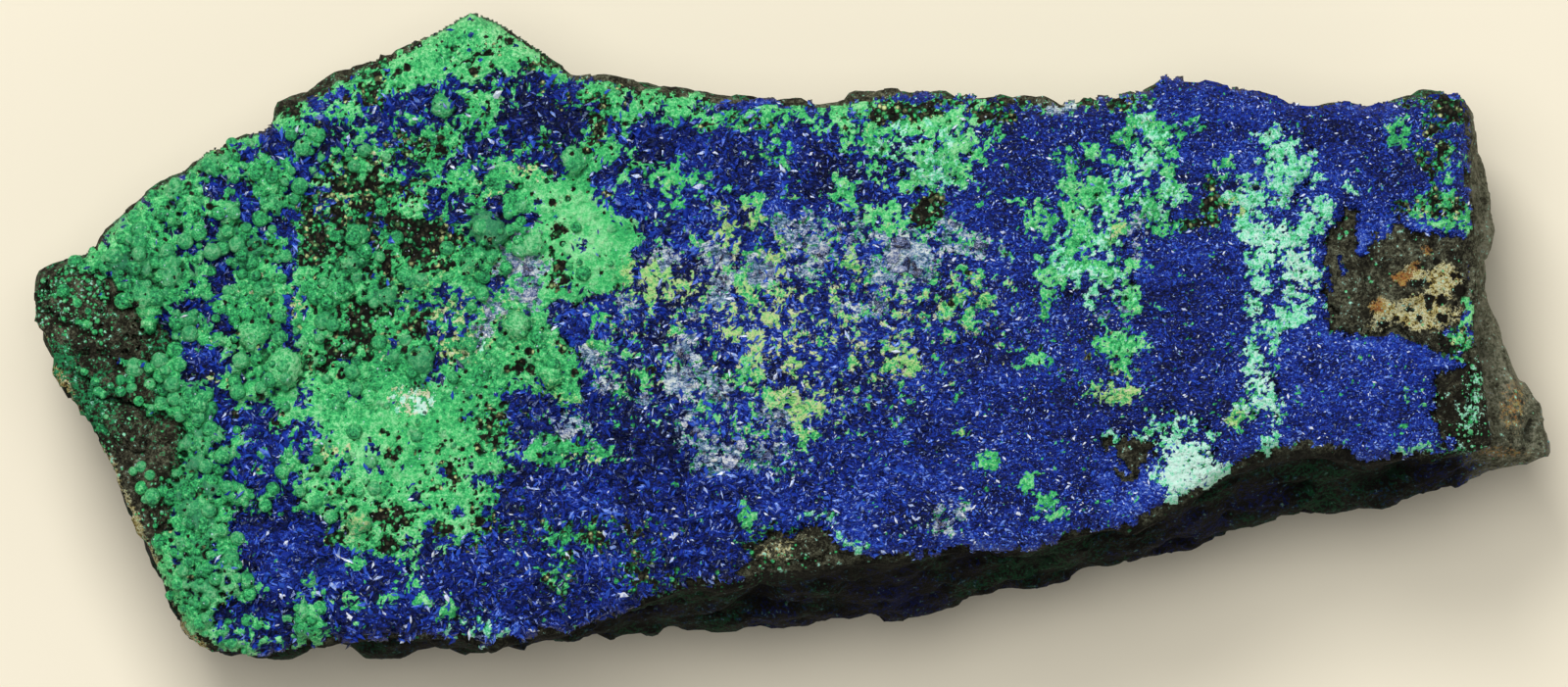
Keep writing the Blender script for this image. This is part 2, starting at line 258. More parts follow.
TEAL_GREEN = [
    (-45.3, -2.6, 3.5, 2.1, 0.9), (-42.5, -4.7, 2.1, 1.4, 0.9), (-46, 5.1, 4.9, 2.1, 0.5),
    (-48.1, 5.5, 1.4, 1.4, 0.9), (-43.2, -9.6, 3.5, 6.3, 0.7), (-52.3, 3, 2.8, 3.5, 0.9),
    (-39, 6.9, 2.1, 1.8, 0.7), (-21.5, 8.1, 1.8, 1.8, 0.7), (-26.8, -1.5, 1.4, 1.4, 0.7),
    (-32.4, 4.1, 1.4, 1.4, 0.5), (-28.5, 2.8, 1.4, 1.4, 0.6), (-41.8, -13.8, 2.8, 4.2, 0.6),
    (-31, 7.2, 1.7, 1.7, 0.5), (-47.1, 12.8, 4.2, 2.8, 0.3),
]
YELLOW_GREEN_SPOTS = [
    (-8.9, 4.4, 3.2, 1.7, 0.8), (-4.7, 8.3, 2.1, 1.7, 0.8), (-2.6, 0.6, 2.1, 1.4, 0.8),
    (1.6, -4.7, 2.8, 2.1, 0.6), (-31, -13.2, 1.3, 1.3, 0.7), (-17.3, -4.3, 1, 0.8, 0.8),
    (-15.6, -4.7, 0.8, 0.8, 0.8), (-31.5, 9.8, 1, 1, 0.8), (4.2, 5.7, 0.7, 1.4, 0.6),
    (7.3, -1.9, 2.8, 1.4, 0.3), (13.5, 3, 2.8, 1.4, 0.4), (23.3, -4, 2.1, 1.1, 0.8),
    (-24.7, 3, 4.2, 2.8, 0.5), (-21.5, 0.9, 4.2, 2.8, 0.4), (-20.1, 12.1, 4.2, 2.1, 0.3),
    (32, 9.7, 1.1, 1, 0.8), (24, 7.2, 2.8, 1.4, 0.5), (9.3, -3.3, 0.6, 0.6, 1),
    (12.4, -6.8, 0.8, 0.7, 0.8), (10.7, -6.8, 0.8, 0.7, 0.5), (-0.5, 5.5, 1.4, 1.4, 0.7),
    (0.5, -2.2, 2.1, 1.4, 0.7), (31.8, -5.7, 1, 1, 0.7),
]

# Stains on the bare rock, and where it carries small green beads.
OCHRE_SPOTS = [
    (46.6, 4, 1.1, 1.2, 1), (45, 1.6, 1.7, 1.1, 1), (42.3, 1.9, 0.9, 0.8, 0.95),
    (44.3, 4.5, 0.8, 0.8, 0.9), (41.9, 0.6, 1.2, 0.5, 0.6), (47.5, 1.6, 0.7, 0.9, 0.6),
    (-51.8, -5.4, 1.4, 2.8, 0.5), (-49.2, -10.6, 0.7, 2.1, 0.6), (-45.9, -17.3, 0.8, 2.4, 0.5),
    (-52.3, -4, 1, 1.4, 0.6), (-1.2, -15.2, 1.8, 1, 0.45), (0.5, -14.1, 2.1, 0.7, 0.3),
    (52, -6.2, 2.1, 2.1, 0.25), (-42.9, -20.8, 1.4, 1.7, 0.3),
    (-47.4, -13.8, 0.8, 1.7, 0.5), (48.6, -6, 0.4, 2.6, 0.3),
]
RUST_SPOTS = [
    (43.6, 4, 0.7, 0.7, 0.85), (44.4, 5, 0.5, 0.4, 0.85), (45.2, 6.2, 0.35, 0.3, 0.8),
    (41.9, 2.2, 0.8, 0.6, 0.7), (50.9, -8.2, 2.4, 0.5, 0.42), (51.7, -5, 1.2, 2.2, 0.34),
    (46.6, 4.8, 0.8, 0.4, 0.4),
]
LACE_SPOTS = [
    (48.6, -3.4, 0.6, 1.1, 0.5), (48.5, -5.6, 0.7, 1.4, 0.5), (47.4, -8.1, 1.9, 0.22, 0.6),
    (-49.2, -9.2, 0.5, 1.6, 0.3),
]
BEADED_ROCK = [
    (-51.2, 3, 2.9, 2.9, 0.9), (-48.8, -6.4, 2.2, 2.5, 0.35), (-49, -9.2, 0.8, 1.8, 0.7),
    (-46, -13.8, 1.4, 1.4, 0.35), (-39.7, -22.2, 4.2, 1.1, 0.5), (48.8, -4.6, 0.7, 2.4, 1.2),
    (48.3, -6.8, 1.4, 0.8, 0.4), (41.5, 4.2, 0.6, 0.3, 0.4), (-49.9, -1.2, 2.1, 1.4, 0.06),
    (-45, -11, 1.4, 1.4, 0.3), (-7.5, -18.3, 4.2, 0.7, 0.5), (-3, -17, 2.5, 0.7, 0.5),
    (-0.5, -15.7, 4.2, 0.4, 0.6), (1.6, -13.1, 1.7, 1, 0.3), (30.3, -11.7, 1.7, 1.4, 0.5),
    (47.2, -8.1, 2.4, 0.35, 1.6), (-8.9, -21.8, 2.8, 1.1, 0.3), (40.1, 7.2, 1.4, 1.4, 0.15),
    (38, 3, 1.4, 2.1, 0.12), (47.1, 15.6, 1, 2.1, 0.25), (-43.2, -5.4, 0.7, 2.1, 0.4),
]

# Where the malachite is a crowd of balls, and where it is smooth.
LUMPY = [
    (-43, -2, 7, 3.5, 0.9), (-43, -9, 3.5, 6, 0.9), (-41, -17, 3.5, 6, 0.9), (-46, 4, 6, 4, 0.8),
    (-40, 7, 6, 5, 0.9), (-35, 11, 8, 5, 0.7), (-32, 3, 5, 5, 0.7), (-27, -3, 5, 4, 0.5),
    (-36, -11, 5, 3, 0.7), (-20, 5, 5, 5, 0.5), (-35, -19, 3, 3, 0.7), (-22, -21, 3, 1, 0.6),
]
SMOOTH_GREEN = [
    (-14.5, 7, 4.2, 4.6, 1), (-8, 11.7, 2.3, 1.5, 1), (-38, -4.7, 3, 2.4, 0.7),
    (-27, -7.5, 4, 4, 0.6), (-16, -8.5, 3, 1, 0.5),
]

# Malachite balls read off one by one, in the crust and on the bare rock: x, y and radius.
BALLS = [
    (-47, -2.4, 0.8), (-45.7, -3.5, 0.7), (-44.4, -4.1, 0.6), (-41.2, -7, 0.8),
    (-49.4, -3.2, 0.5), (-42, -7.7, 0.9), (-40.3, -8.3, 0.8), (-41.6, -10.8, 0.7),
    (-42.7, -9.2, 0.6), (-43.2, -12.2, 0.6), (-41.8, -12.6, 0.6), (-41.4, -13.9, 0.9),
    (-42.2, -15.4, 0.7), (-43.2, -16.8, 0.7), (-40.1, -16.4, 1), (-41.7, -18.3, 0.9),
    (-39.9, -18.2, 0.6), (-41.9, -20.2, 0.7), (-40.4, -21.2, 0.6), (-39.4, -11.3, 1),
    (-37.8, -11.6, 0.7), (-34.5, -12, 0.7), (-32.7, -11, 0.8), (-30.9, -13.2, 1.1),
    (-35, -19.6, 0.7), (-34.9, -21.1, 0.7), (-37.6, -21.6, 0.5), (-41.5, 12.2, 1),
    (-37.3, 10.7, 1), (-40.5, 9.2, 0.8), (-34.8, 13.4, 0.9), (-40.6, 7.2, 0.6),
    (-38.2, 6.5, 0.8), (-31, 7.2, 1.1), (-31.5, 5.4, 1), (-32.2, 3.4, 1.1),
    (-28.9, 2.8, 0.9), (-27.2, 4, 0.7), (-21.5, 7.7, 1.6), (-18.4, 6.5, 1),
    (-22.9, 5.4, 0.8), (-19.6, 0.9, 1.3), (-17.9, -1.2, 0.8), (-17.2, -2.8, 1),
    (-22.9, -0.6, 0.8), (-26.4, -1.6, 1.2), (-31, -2.3, 1), (-48, 5.4, 0.9),
    (-46.2, 7.2, 0.7), (-44.3, 8.5, 0.7), (-50.6, 3.8, 0.6), (-48.1, 1.6, 0.6),
    (-46.2, 2.8, 1), (-44.4, 4.3, 1.1), (-38.3, 0.2, 1.3), (-36.2, -2.2, 1.7),
    (-38.2, -3.9, 1.2), (-43, 1.2, 0.9), (-15.6, 12.6, 1.2), (-25, 16.4, 1),
]
BALLS_ON_ROCK = [
    (-46.9, -2.2, 0.75), (-44.8, -3.7, 0.6), (-45.2, -2.8, 0.4), (-44.2, -3.4, 0.6),
    (-44, -4.4, 0.6), (-45, -4.7, 0.5), (-45.8, -3.4, 0.45), (-42.9, -4.2, 0.6),
    (-41.8, -4.1, 0.6), (-41.5, -5.1, 0.6), (-42.3, -5.7, 0.6), (-43.1, -5.2, 0.5),
    (-42.3, -4.8, 0.7), (-47.9, -3.1, 0.4), (-47.1, -3.7, 0.42), (-47.9, -3.9, 0.42),
    (-47.2, -3.1, 0.35), (-46.6, -4.6, 0.38), (-45.7, -5.1, 0.28), (-49.7, -3.2, 0.35),
    (-49.5, -3.9, 0.4), (-49.2, -4.1, 0.35), (-50.5, -2.5, 0.3), (-44.7, -2.4, 0.4),
    (-48.6, -3.5, 0.25), (-51, 2.4, 0.35), (-50.2, 1.8, 0.25), (-52, 3.3, 0.5),
    (-46.4, -9.3, 0.45), (-47, -9.6, 0.35), (-45.8, -9.9, 0.4), (-46.4, -10.8, 0.5),
    (-45.6, -11.4, 0.6), (-44.9, -11, 0.45), (-46.1, -11.6, 0.35),
]

# Azurite that runs over the rock beside the east window, places there where all kinds mix, and rock
# laid bare in the west and beside the window.
ADDED_CRUST = [
    (41.7, 8.5, 1.4, 1.3, 1), (40.9, 7, 0.7, 0.8, 1), (40.6, 6.2, 0.45, 0.6, 1),
    (45.3, 7.9, 0.85, 0.55, 1), (39.3, 4.8, 0.25, 1, 0.8), (44.5, 8.7, 1, 0.45, 1),
    (47.4, 8.3, 1.3, 1.5, 1), (48.3, 5.1, 0.6, 1.2, 1), (48.1, 1.8, 0.85, 0.9, 1),
    (47.3, -0.1, 1.3, 1.1, 1), (44.5, -1.3, 2, 0.8, 1), (46.6, -1.6, 1, 1, 1),
]
MIXED_SPOTS = [(47.3, -0.2, 1.5, 1.1, 0.9), (48.2, 5.1, 0.6, 1.3, 0.8), (46.2, 9.2, 2, 1.2, 0.6)]
BARED_SPOTS = [
    (-51.3, -0.5, 2, 1.5, 1), (-48.8, -0.5, 2.4, 1.3, 1), (-46, -0.5, 1.7, 1, 1),
    (-48.8, -3.2, 2.1, 1.4, 1), (-46, -3.9, 1.8, 1.1, 1), (-52.8, 1.2, 1, 1.6, 1),
    (-51, 3, 2.4, 2.2, 0.8), (-48.6, 1.2, 1.6, 0.9, 0.8), (40, 1, 1.5, 0.8, 1),
    (39, 2.2, 0.9, 1, 1), (41.5, 0.6, 1.2, 0.7, 1), (43.6, 7.2, 0.8, 0.9, 1),
    (39.9, 8.2, 0.5, 0.8, 1),
]

# Dark holes in the pale druse of the east window.
DARK_PITS = [
    (45.5, 2.3, 0.42, 0.40, 1), (46.5, 2.5, 0.40, 0.42, 1), (47.7, 3.1, 0.50, 0.40, 1),
    (44.8, 3.6, 0.60, 0.32, 1), (42.2, 0.7, 0.50, 0.30, 1), (47.2, 4.3, 0.36, 0.30, 1),
    (44.4, 1.8, 0.25, 0.20, 1), (44.9, 1.1, 0.30, 0.22, 1), (46.4, 1.4, 0.24, 0.22, 1),
    (43.3, 1.2, 0.25, 0.20, 1), (45.9, 5.3, 0.30, 0.20, 1), (43.9, 0.5, 0.22, 0.18, 1),
]

# What covers a place on the upper face.
AZURITE, MALACHITE, MINT, CREAM, PALE, DARK, ROCK = range(7)
NAMED_KINDS = {"azurite": AZURITE, "mint": MINT, "cream": CREAM, "pale": PALE, "dark": DARK}

CRUSTS = ["azurite_crust", "malachite_crust", "malachite_patch_north",
          "malachite_patch_northeast", "malachite_vein_east", "malachite_patch_southeast",
          "malachite_knob_south"]
AZURITE_CRUST, MALACHITE_CRUST = 0, 1
GROWTH = 7  # grid points by which a crust may reach past its CAD outline
OUTCROP_RISE = 0.75  # rock that stands this far above SEAT_HEIGHT is bare among the crusts
HIGHEST = 22.2  # the crusts stay below this
HEADROOM = 0.5  # how far below HIGHEST they begin to be eased off
EDGE_WIDTH = 0.9  # over which a crust thickens, inwards from its own edge
RIM_DEPTH = 0.9  # how far down the slab's rounded rim the crusts reach
RIM_THIN = 0.15  # share of their thickness that they keep there
RIM_WIDTH = 1.35  # over which they gain the rest
DEEPEST_SEAT = SEAT_HEIGHT - 1.5  # lowest ground that a crust follows

PATCH_MINT = 0.28  # share of mint on a patch away from its spots
STRAY_BLUE = 0.05  # share of azurite on the malachite crust away from its spots
STRAY_GREEN = 0.03  # share of malachite on the other crusts away from its spots
MIDDLE_GREEN = 0.30  # more of it in the middle of the face

# For each kind of spot: the spots, the strength of their claim, how much wider than drawn they are,
# and the size, seed and gain of the noise that breaks their edges up.
CLAIMS = {
    "blue": (BLUE_SPOTS, 1.1, 1.08, 1.0, 3, 0.9),
    "green": (GREEN_SPOTS, 0.92, 1.05, 0.6, 9, 0.9),
    "mint": (MINT_SPOTS, 0.85, 1.0, 0.6, 13, 1.0),
    "cream": (CREAM_SPOTS, 1.0, 1.0, 0.5, 19, 0.9),
    "pale": (PALE_SPOTS, 1.1, 1.25, 0.8, 29, 0.9),
    "dark": (DARK_SPOTS, 1.1, 1.1, 0.5, 37, 0.9),
}


# ---------------------------------------------------------------- noise

def scrambled(i, j, k, seed):
    """A number from 0 to 1 for each lattice place, the same in each run."""
    with np.errstate(over="ignore"):
        h = (np.asarray(i).astype(np.int64).astype(np.uint64) * np.uint64(0x9E3779B97F4A7C15)
             ^ np.asarray(j).astype(np.int64).astype(np.uint64) * np.uint64(0xC2B2AE3D27D4EB4F)
             ^ np.asarray(k).astype(np.int64).astype(np.uint64) * np.uint64(0x165667B19E3779F9))
        h = h + np.uint64(seed * 7919 + 17)
        h = (h ^ (h >> np.uint64(31))) * np.uint64(0xBF58476D1CE4E5B9)
        h = (h ^ (h >> np.uint64(29))) * np.uint64(0x94D049BB133111EB)
        h = h ^ (h >> np.uint64(32))
    return (h & np.uint64(0xFFFFFF)).astype(np.float64) / 0xFFFFFF


def swell(x, y, size, seed, z=None):
    """Smooth noise from -1 to 1 whose lumps are about size across."""
    places = [x / size + 0.31 * seed, y / size - 0.17 * seed]
    if z is not None:
        places.append(z / size + 0.23 * seed)
    floors = [np.floor(place) for place in places]
    parts = [place - floor for place, floor in zip(places, floors)]
    parts = [part * part * (3 - 2 * part) for part in parts]
    total = 0.0
    for corner in range(2 ** len(places)):
        weight = 1.0
        lattice = [0, 0, 0]
        for axis, (low, part) in enumerate(zip(floors, parts)):
            high = corner >> axis & 1
            weight = weight * (part if high else 1 - part)
            lattice[axis] = low + high
        total = total + weight * scrambled(*lattice, seed)
    return 2 * total - 1


def rough(x, y, size, seed, octaves=4, gain=0.55, z=None):
    """Several sizes of swell added up, each half the size of the one before."""
    total, strength = 0.0, 1.0
    for octave in range(octaves):
        scale = size / 2 ** octave
        total = total + strength * swell(x, y, scale, seed + 31 * octave, z)
        strength *= gain
    return total


def even(values):
    """The values replaced by their rank, from 0 to 1, so that a share of s lies below s."""
    ranks = np.empty(values.size)
    ranks[np.argsort(values, axis=None, kind="stable")] = np.arange(values.size) / values.size
    return ranks.reshape(values.shape)


def rising(value, start, width):
    """0 up to start, then rising to 1 over width. A negative width makes it fall towards start."""
    return np.clip((value - start) / width, 0, 1)


def cells(x, y, size, seed):
    """Distance to the nearest of scattered seeds, in sizes, the way to it, and three random
    numbers of its own."""
    gx, gy = np.floor(x / size), np.floor(y / size)
    nearest = np.full(np.shape(x), np.inf)
    found = [np.zeros(np.shape(x)) for _ in range(5)]
    for di in (-1, 0, 1):
        for dj in (-1, 0, 1):
            i, j = gx + di, gy + dj
            dx = i + scrambled(i, j, 0, seed) - x / size
            dy = j + scrambled(i, j, 0, seed + 1) - y / size
            distance = np.hypot(dx, dy)
            closer = distance < nearest
            nearest = np.where(closer, distance, nearest)
            own = [scrambled(i, j, 0, seed + n) for n in (2, 3, 4)]
            found = [np.where(closer, new, old) for new, old in zip([dx, dy] + own, found)]
    return [nearest] + found


def fractured(x, y, z, size, seed):
    """Flat facets of broken rock about zero, each with its own level and tilt."""
    grid = [np.floor(a / size) for a in (x, y, z)]
    nearest = np.full(np.shape(x), np.inf)
    facet = np.zeros(np.shape(x))
    for number in range(27):
        i, j, k = (g + number // 3 ** axis % 3 - 1 for axis, g in enumerate(grid))
        away = [g + scrambled(i, j, k, seed + n) - a / size
                for n, (g, a) in enumerate(zip((i, j, k), (x, y, z)))]
        distance = np.sqrt(sum(d * d for d in away))
        tilt = sum(d * (scrambled(i, j, k, seed + 5 + n) - 0.5) for n, d in enumerate(away))
        height = 2 * (scrambled(i, j, k, seed + 9) - 0.5) + 1.6 * tilt
        closer = distance < nearest
        nearest = np.where(closer, distance, nearest)
        facet = np.where(closer, height, facet)
    return facet


# ---------------------------------------------------------------- the grid over the upper face

COLUMNS = int(round((HIGH_X - LOW_X) / STEP)) + 1
ROWS = int(round((HIGH_Y - LOW_Y) / STEP)) + 1
ROW_OF, COLUMN_OF = np.mgrid[0:ROWS, 0:COLUMNS]
PLAIN_X = LOW_X + STEP * COLUMN_OF
PLAIN_Y = LOW_Y + STEP * ROW_OF
GRID_X = PLAIN_X + WANDER * STEP * (2 * scrambled(ROW_OF, COLUMN_OF, 1, 5) - 1)
GRID_Y = PLAIN_Y + WANDER * STEP * (2 * scrambled(ROW_OF, COLUMN_OF, 2, 5) - 1)
BEND_X = GRID_X + EDGE_WANDER * rough(GRID_X, GRID_Y, 1.6, 61, 4, 0.75)
BEND_Y = GRID_Y + EDGE_WANDER * rough(GRID_X, GRID_Y, 1.6, 67, 4, 0.75)

# A spot is full up to 0.6 of its reach and gone at 1.5 of it.
SPOT_END, SPOT_FADE = 1.5, 0.9
SPOT_MARGIN = 0.6  # room for its wandering edge


def window(x, y, reach_x, reach_y):
    """The part of the grid within reach of a place."""
    left = max(0, int((x - reach_x - LOW_X) / STEP))
    right = min(COLUMNS, int((x + reach_x - LOW_X) / STEP) + 2)
    bottom = max(0, int((y - reach_y - LOW_Y) / STEP))
    top = min(ROWS, int((y + reach_y - LOW_Y) / STEP) + 2)
    return slice(bottom, top), slice(left, right)


def share_of(spots, wider=1.0):
    """The share of the surface that spots claim at each place: full inside, fading at the edge."""
    share = np.zeros(GRID_X.shape)
    for x, y, reach_x, reach_y, most in spots:
        reach_x, reach_y = reach_x * wider, reach_y * wider
        here = window(x, y, SPOT_END * reach_x + SPOT_MARGIN, SPOT_END * reach_y + SPOT_MARGIN)
        away = np.hypot((BEND_X[here] - x) / reach_x, (BEND_Y[here] - y) / reach_y)
        share[here] = np.maximum(share[here], most * rising(away, SPOT_END, -SPOT_FADE))
    return share


def at(field, x, y):
    """A grid field read at any places, between its points."""
    u = np.clip((x - LOW_X) / STEP, 0, COLUMNS - 1.001)
    v = np.clip((y - LOW_Y) / STEP, 0, ROWS - 1.001)
    i, j = v.astype(int), u.astype(int)
    a, b = v - i, u - j
    return ((field[i, j] * (1 - b) + field[i, j + 1] * b) * (1 - a)
            + (field[i + 1, j] * (1 - b) + field[i + 1, j + 1] * b) * a)


def blurred(field, reach):
    """The field averaged over reach millimetres in each direction."""
    count = int(math.ceil(2.5 * reach / STEP))
    weights = [math.exp(-0.5 * (n * STEP / reach) ** 2) for n in range(-count, count + 1)]
    for axis in (0, 1):
        wide = [(0, 0), (0, 0)]
        wide[axis] = (count, count)
        padded = np.pad(field, wide, mode="edge")
        total = np.zeros(field.shape)
        for n, weight in enumerate(weights):
            part = [slice(None), slice(None)]
            part[axis] = slice(n, n + field.shape[axis])
            total += weight * padded[tuple(part)]
        field = total / sum(weights)
    return field


def spread(spots, reach):
    """The share that spots claim, blurred."""
    return blurred(share_of(spots), reach)


def grown(mask):
    """The mask with its four neighbours."""
    wide = np.pad(mask, 1)
    return wide[1:-1, 1:-1] | wide[2:, 1:-1] | wide[:-2, 1:-1] | wide[1:-1, 2:] | wide[1:-1, :-2]


def depth_inside(mask, most):
    """How far inside the mask each place is, from 0 at its edge to 1 at most millimetres."""
    outside = ~mask
    depth = np.zeros(mask.shape)
    for _ in range(int(most / STEP)):
        outside = grown(outside)
        depth += STEP * ~outside
    return depth / most


def highest(node):
    """Top of a CAD node over each grid point, -inf where there is none."""
    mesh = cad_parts[node].data
    mesh.calc_loop_triangles()
    points = np.empty(len(mesh.vertices) * 3, np.float32)
    mesh.vertices.foreach_get("co", points)
    points = points.reshape(-1, 3) / MM + (*DRAWN_CENTRE, 0)
    corners = np.empty(len(mesh.loop_triangles) * 3, np.int32)
    mesh.loop_triangles.foreach_get("vertices", corners)
    top = np.full(GRID_X.shape, -np.inf)
    for a, b, c in points[corners.reshape(-1, 3)]:
        area = (b[0] - a[0]) * (c[1] - a[1]) - (c[0] - a[0]) * (b[1] - a[1])
        if area < 1e-4:
            continue
        middle = (np.minimum(np.minimum(a, b), c) + np.maximum(np.maximum(a, b), c)) / 2
        reach = middle - np.minimum(np.minimum(a, b), c)
        here = window(middle[0], middle[1], reach[0], reach[1])
        x, y = PLAIN_X[here], PLAIN_Y[here]
        one = ((b[0] - x) * (c[1] - y) - (c[0] - x) * (b[1] - y)) / area
        two = ((c[0] - x) * (a[1] - y) - (a[0] - x) * (c[1] - y)) / area
        height = one * a[2] + two * b[2] + (1 - one - two) * c[2]
        within = (one >= -1e-6) & (two >= -1e-6) & (one + two <= 1 + 1e-6)
        top[here] = np.where(within, np.maximum(top[here], height), top[here])
    return top


# ---------------------------------------------------------------- regions and what covers them

def neighbours(field):
    """The field moved one grid point each way, with -1 from beyond its edge."""
    wide = np.pad(field, 1, constant_values=-1)
    return wide[2:, 1:-1], wide[:-2, 1:-1], wide[1:-1, 2:], wide[1:-1, :-2]


def crust_regions():
    """Which crust is at each grid point, -1 for none, its CAD top, the bare rock's top and
    where the rock is bare."""
    region = np.full(GRID_X.shape, -1)
    top = np.full(GRID_X.shape, -np.inf)
    for number, node in enumerate(CRUSTS):
        height = highest(node)
        region[height > top] = number
        top = np.maximum(top, height)
    rock = highest("matrix")
    slab = blurred(rock > SEAT_HEIGHT - RIM_DEPTH, 0.25) > 0.45
    outcrop = (rock > SEAT_HEIGHT + OUTCROP_RISE) & (region < 0)
    ragged = even(rough(GRID_X, GRID_Y, 1.1, 71, 4, 0.75))
    north_west = (GRID_X < -19) & (GRID_Y > 5) & (region < 0)
    for turn in range(2 * GROWTH):
        limit = np.where(north_west, 0.93, 0.8 - 0.09 * turn)
        for part in neighbours(region):
            free = (region < 0) & (part >= 0) & slab
            if turn > 0:
                free &= (ragged < limit) & ~outcrop
            region[free] = part[free]
    reached = region.copy()
    for _ in range(GROWTH):
        for part in neighbours(reached):
            free = (reached < 0) & (part >= 0) & outcrop
            reached[free] = part[free]
    rows = np.clip(((2 * BEND_Y - GRID_Y - LOW_Y) / STEP).astype(int), 0, ROWS - 1)
    columns = np.clip(((2 * BEND_X - GRID_X - LOW_X) / STEP).astype(int), 0, COLUMNS - 1)
    strayed = region[rows, columns]
    region = np.where((region >= 0) & (strayed >= 0), strayed, region)
    bent_outcrop = outcrop[rows, columns]
    lapped = outcrop & ~bent_outcrop & (reached[rows, columns] >= 0)
    region[lapped] = reached[rows, columns][lapped]
    region[bent_outcrop & slab] = -1
    bare = (blurred(outcrop, 0.3) > 0.15) & slab
    added = (region < 0) & slab & (share_of(ADDED_CRUST) > 0.25 + 0.5 * ragged)
    region[added] = AZURITE_CRUST
    top[added] = rock[added] + 0.1
    bared = (region >= 0) & (share_of(BARED_SPOTS) > 0.15 + 0.6 * ragged)
    region[bared] = -1
    region[blurred(region >= 0, 0.13) < 0.45] = -1
    return region, top, rock, (bare | bared) & (region < 0)


def scattered(spacing, seed, keep):
    """Places on a jittered grid, kept where a random number is under keep there."""
    xs = np.arange(LOW_X, HIGH_X, spacing)
    ys = np.arange(LOW_Y, HIGH_Y, spacing)
    j, i = np.meshgrid(np.arange(len(xs)), np.arange(len(ys)))
    x = xs[j] + spacing * (scrambled(i, j, 0, seed) + 0.5 * (i % 2))
    y = ys[i] + spacing * scrambled(i, j, 1, seed)
    chosen = scrambled(i, j, 2, seed) < at(keep, x, y)
    return x[chosen], y[chosen], i[chosen] * 4099 + j[chosen]


def covering(region):
    """What covers each place, from the crusts' own kinds and the spots on them."""
    share, chance = {}, {}
    for name, (spots, strength, wider, size, seed, gain) in CLAIMS.items():
        share[name] = strength * share_of(spots, wider)
        chance[name] = even(rough(GRID_X, GRID_Y, size, seed, 4, gain))
    laid = region >= 0
    green_node = region == MALACHITE_CRUST
    middle = np.clip(1.3 - np.hypot((GRID_X + 1.5) / 16, (GRID_Y - 1) / 8), 0, 1)
    share["blue"] = np.maximum(share["blue"], STRAY_BLUE * green_node)
    share["green"] = np.maximum(share["green"], ~green_node * (STRAY_GREEN + MIDDLE_GREEN * middle))
    share["mint"] = np.maximum(share["mint"], PATCH_MINT * (region > MALACHITE_CRUST))
    won = {name: share[name] > chance[name] for name in CLAIMS}
    kind = np.where(laid, AZURITE, ROCK)
    kind[green_node] = MALACHITE
    kind[green_node & won["blue"]] = AZURITE
    kind[laid & ~green_node & won["green"]] = MALACHITE
    kind[green_node & won["green"] & (share["blue"] < share["green"])] = MALACHITE
    kind[laid & won["mint"]] = MINT
    mixed = laid & (share_of(MIXED_SPOTS) > chance["pale"])
    for limit, new in ((1.0, AZURITE), (0.55, DARK), (0.35, MALACHITE), (0.12, CREAM)):
        kind[mixed & (chance["blue"] < limit)] = new
    for name, new in (("cream", CREAM), ("pale", PALE), ("dark", DARK)):
        kind[laid & won[name]] = new
    return kind


def round_specks(kind, region):
    """Small round dark openings between the green lumps, in loose groups."""
    crowd = spread(DARK_SPOTS, 0.7)
    group = even(rough(GRID_X, GRID_Y, 2.2, 87, 2)) ** 4
    keep = np.where(region == MALACHITE_CRUST, 0.008 + 0.20 * group + 0.25 * crowd, 0.005)
    dip = np.zeros(kind.shape)
    for x, y, number in zip(*scattered(0.42, 83, keep * (kind == MALACHITE))):
        radius = 0.13 + 0.22 * scrambled(number, 7, 7, 83) ** 3
        here = window(x, y, 1.2 * radius, 1.2 * radius)
        away = np.hypot(GRID_X[here] - x, GRID_Y[here] - y) / radius
        dip[here] = np.maximum(dip[here], np.clip(1.6 - away, 0, 1))
    return dip


def balls_on(kind, region):
    """Height of the malachite balls over the crust and each ball's own tone. The kind becomes
    malachite where a placed ball stands."""
    height = np.zeros(kind.shape)
    tone = np.zeros(kind.shape)
    lumpy = spread(LUMPY, 0.6)
    keep = np.where(kind == MALACHITE, 0.12 + 0.75 * lumpy, 0)
    x, y, number = scattered(1.05, 89, keep)
    radius = 0.22 + 0.50 * scrambled(number, 3, 3, 89) ** 1.6 * (0.4 + at(lumpy, x, y))
    every = [(*ball, kind == MALACHITE) for ball in zip(x, y, radius)]
    every += [(bx, by, 0.85 * r, region == MALACHITE_CRUST) for bx, by, r in BALLS]
    dent = 0.10 * rough(GRID_X, GRID_Y, 1.0, 97, 3, 0.7)
    for n, (bx, by, r, allowed) in enumerate(sorted(every, key=lambda ball: ball[2])):
        here = window(bx, by, r, r)
        away = np.hypot(0.4 * BEND_X[here] + 0.6 * GRID_X[here] - bx,
                        0.4 * BEND_Y[here] + 0.6 * GRID_Y[here] - by) / r + dent[here]
        rise = 0.62 * r * np.sqrt(np.clip(1 - away ** 2, 0, 1))
        own = 2 * scrambled(n, 11, 5, 89) - 1
        higher = (rise > height[here]) & allowed[here]
        tone[here] = np.where(higher, own, tone[here])
        height[here] = np.where(higher, rise, height[here])
        kind[here] = np.where(higher & (rise > 0.3 * r), MALACHITE, kind[here])
    return height, tone


def grains(size, seed):
    """Small round lumps side by side, from 0 to 1."""
    distance = cells(GRID_X, GRID_Y, size, seed)[0]
    return np.sqrt(np.clip(1 - (distance / 0.75) ** 2, 0, 1))


def tilted(size, seed):
    """Small flat facets about zero, each with its own tilt and level."""
    _, dx, dy, one, two, three = cells(GRID_X, GRID_Y, size, seed)
    return dx * (one - 0.5) * 1.6 + dy * (two - 0.5) * 1.6 + 0.8 * (three - 0.5)


def capped(height):
    """The height eased off so that it stays below HIGHEST."""
    start = HIGHEST - HEADROOM
    over = np.maximum(height - start, 0)
    return np.where(height > start, start + HEADROOM * np.tanh(over / HEADROOM), height)


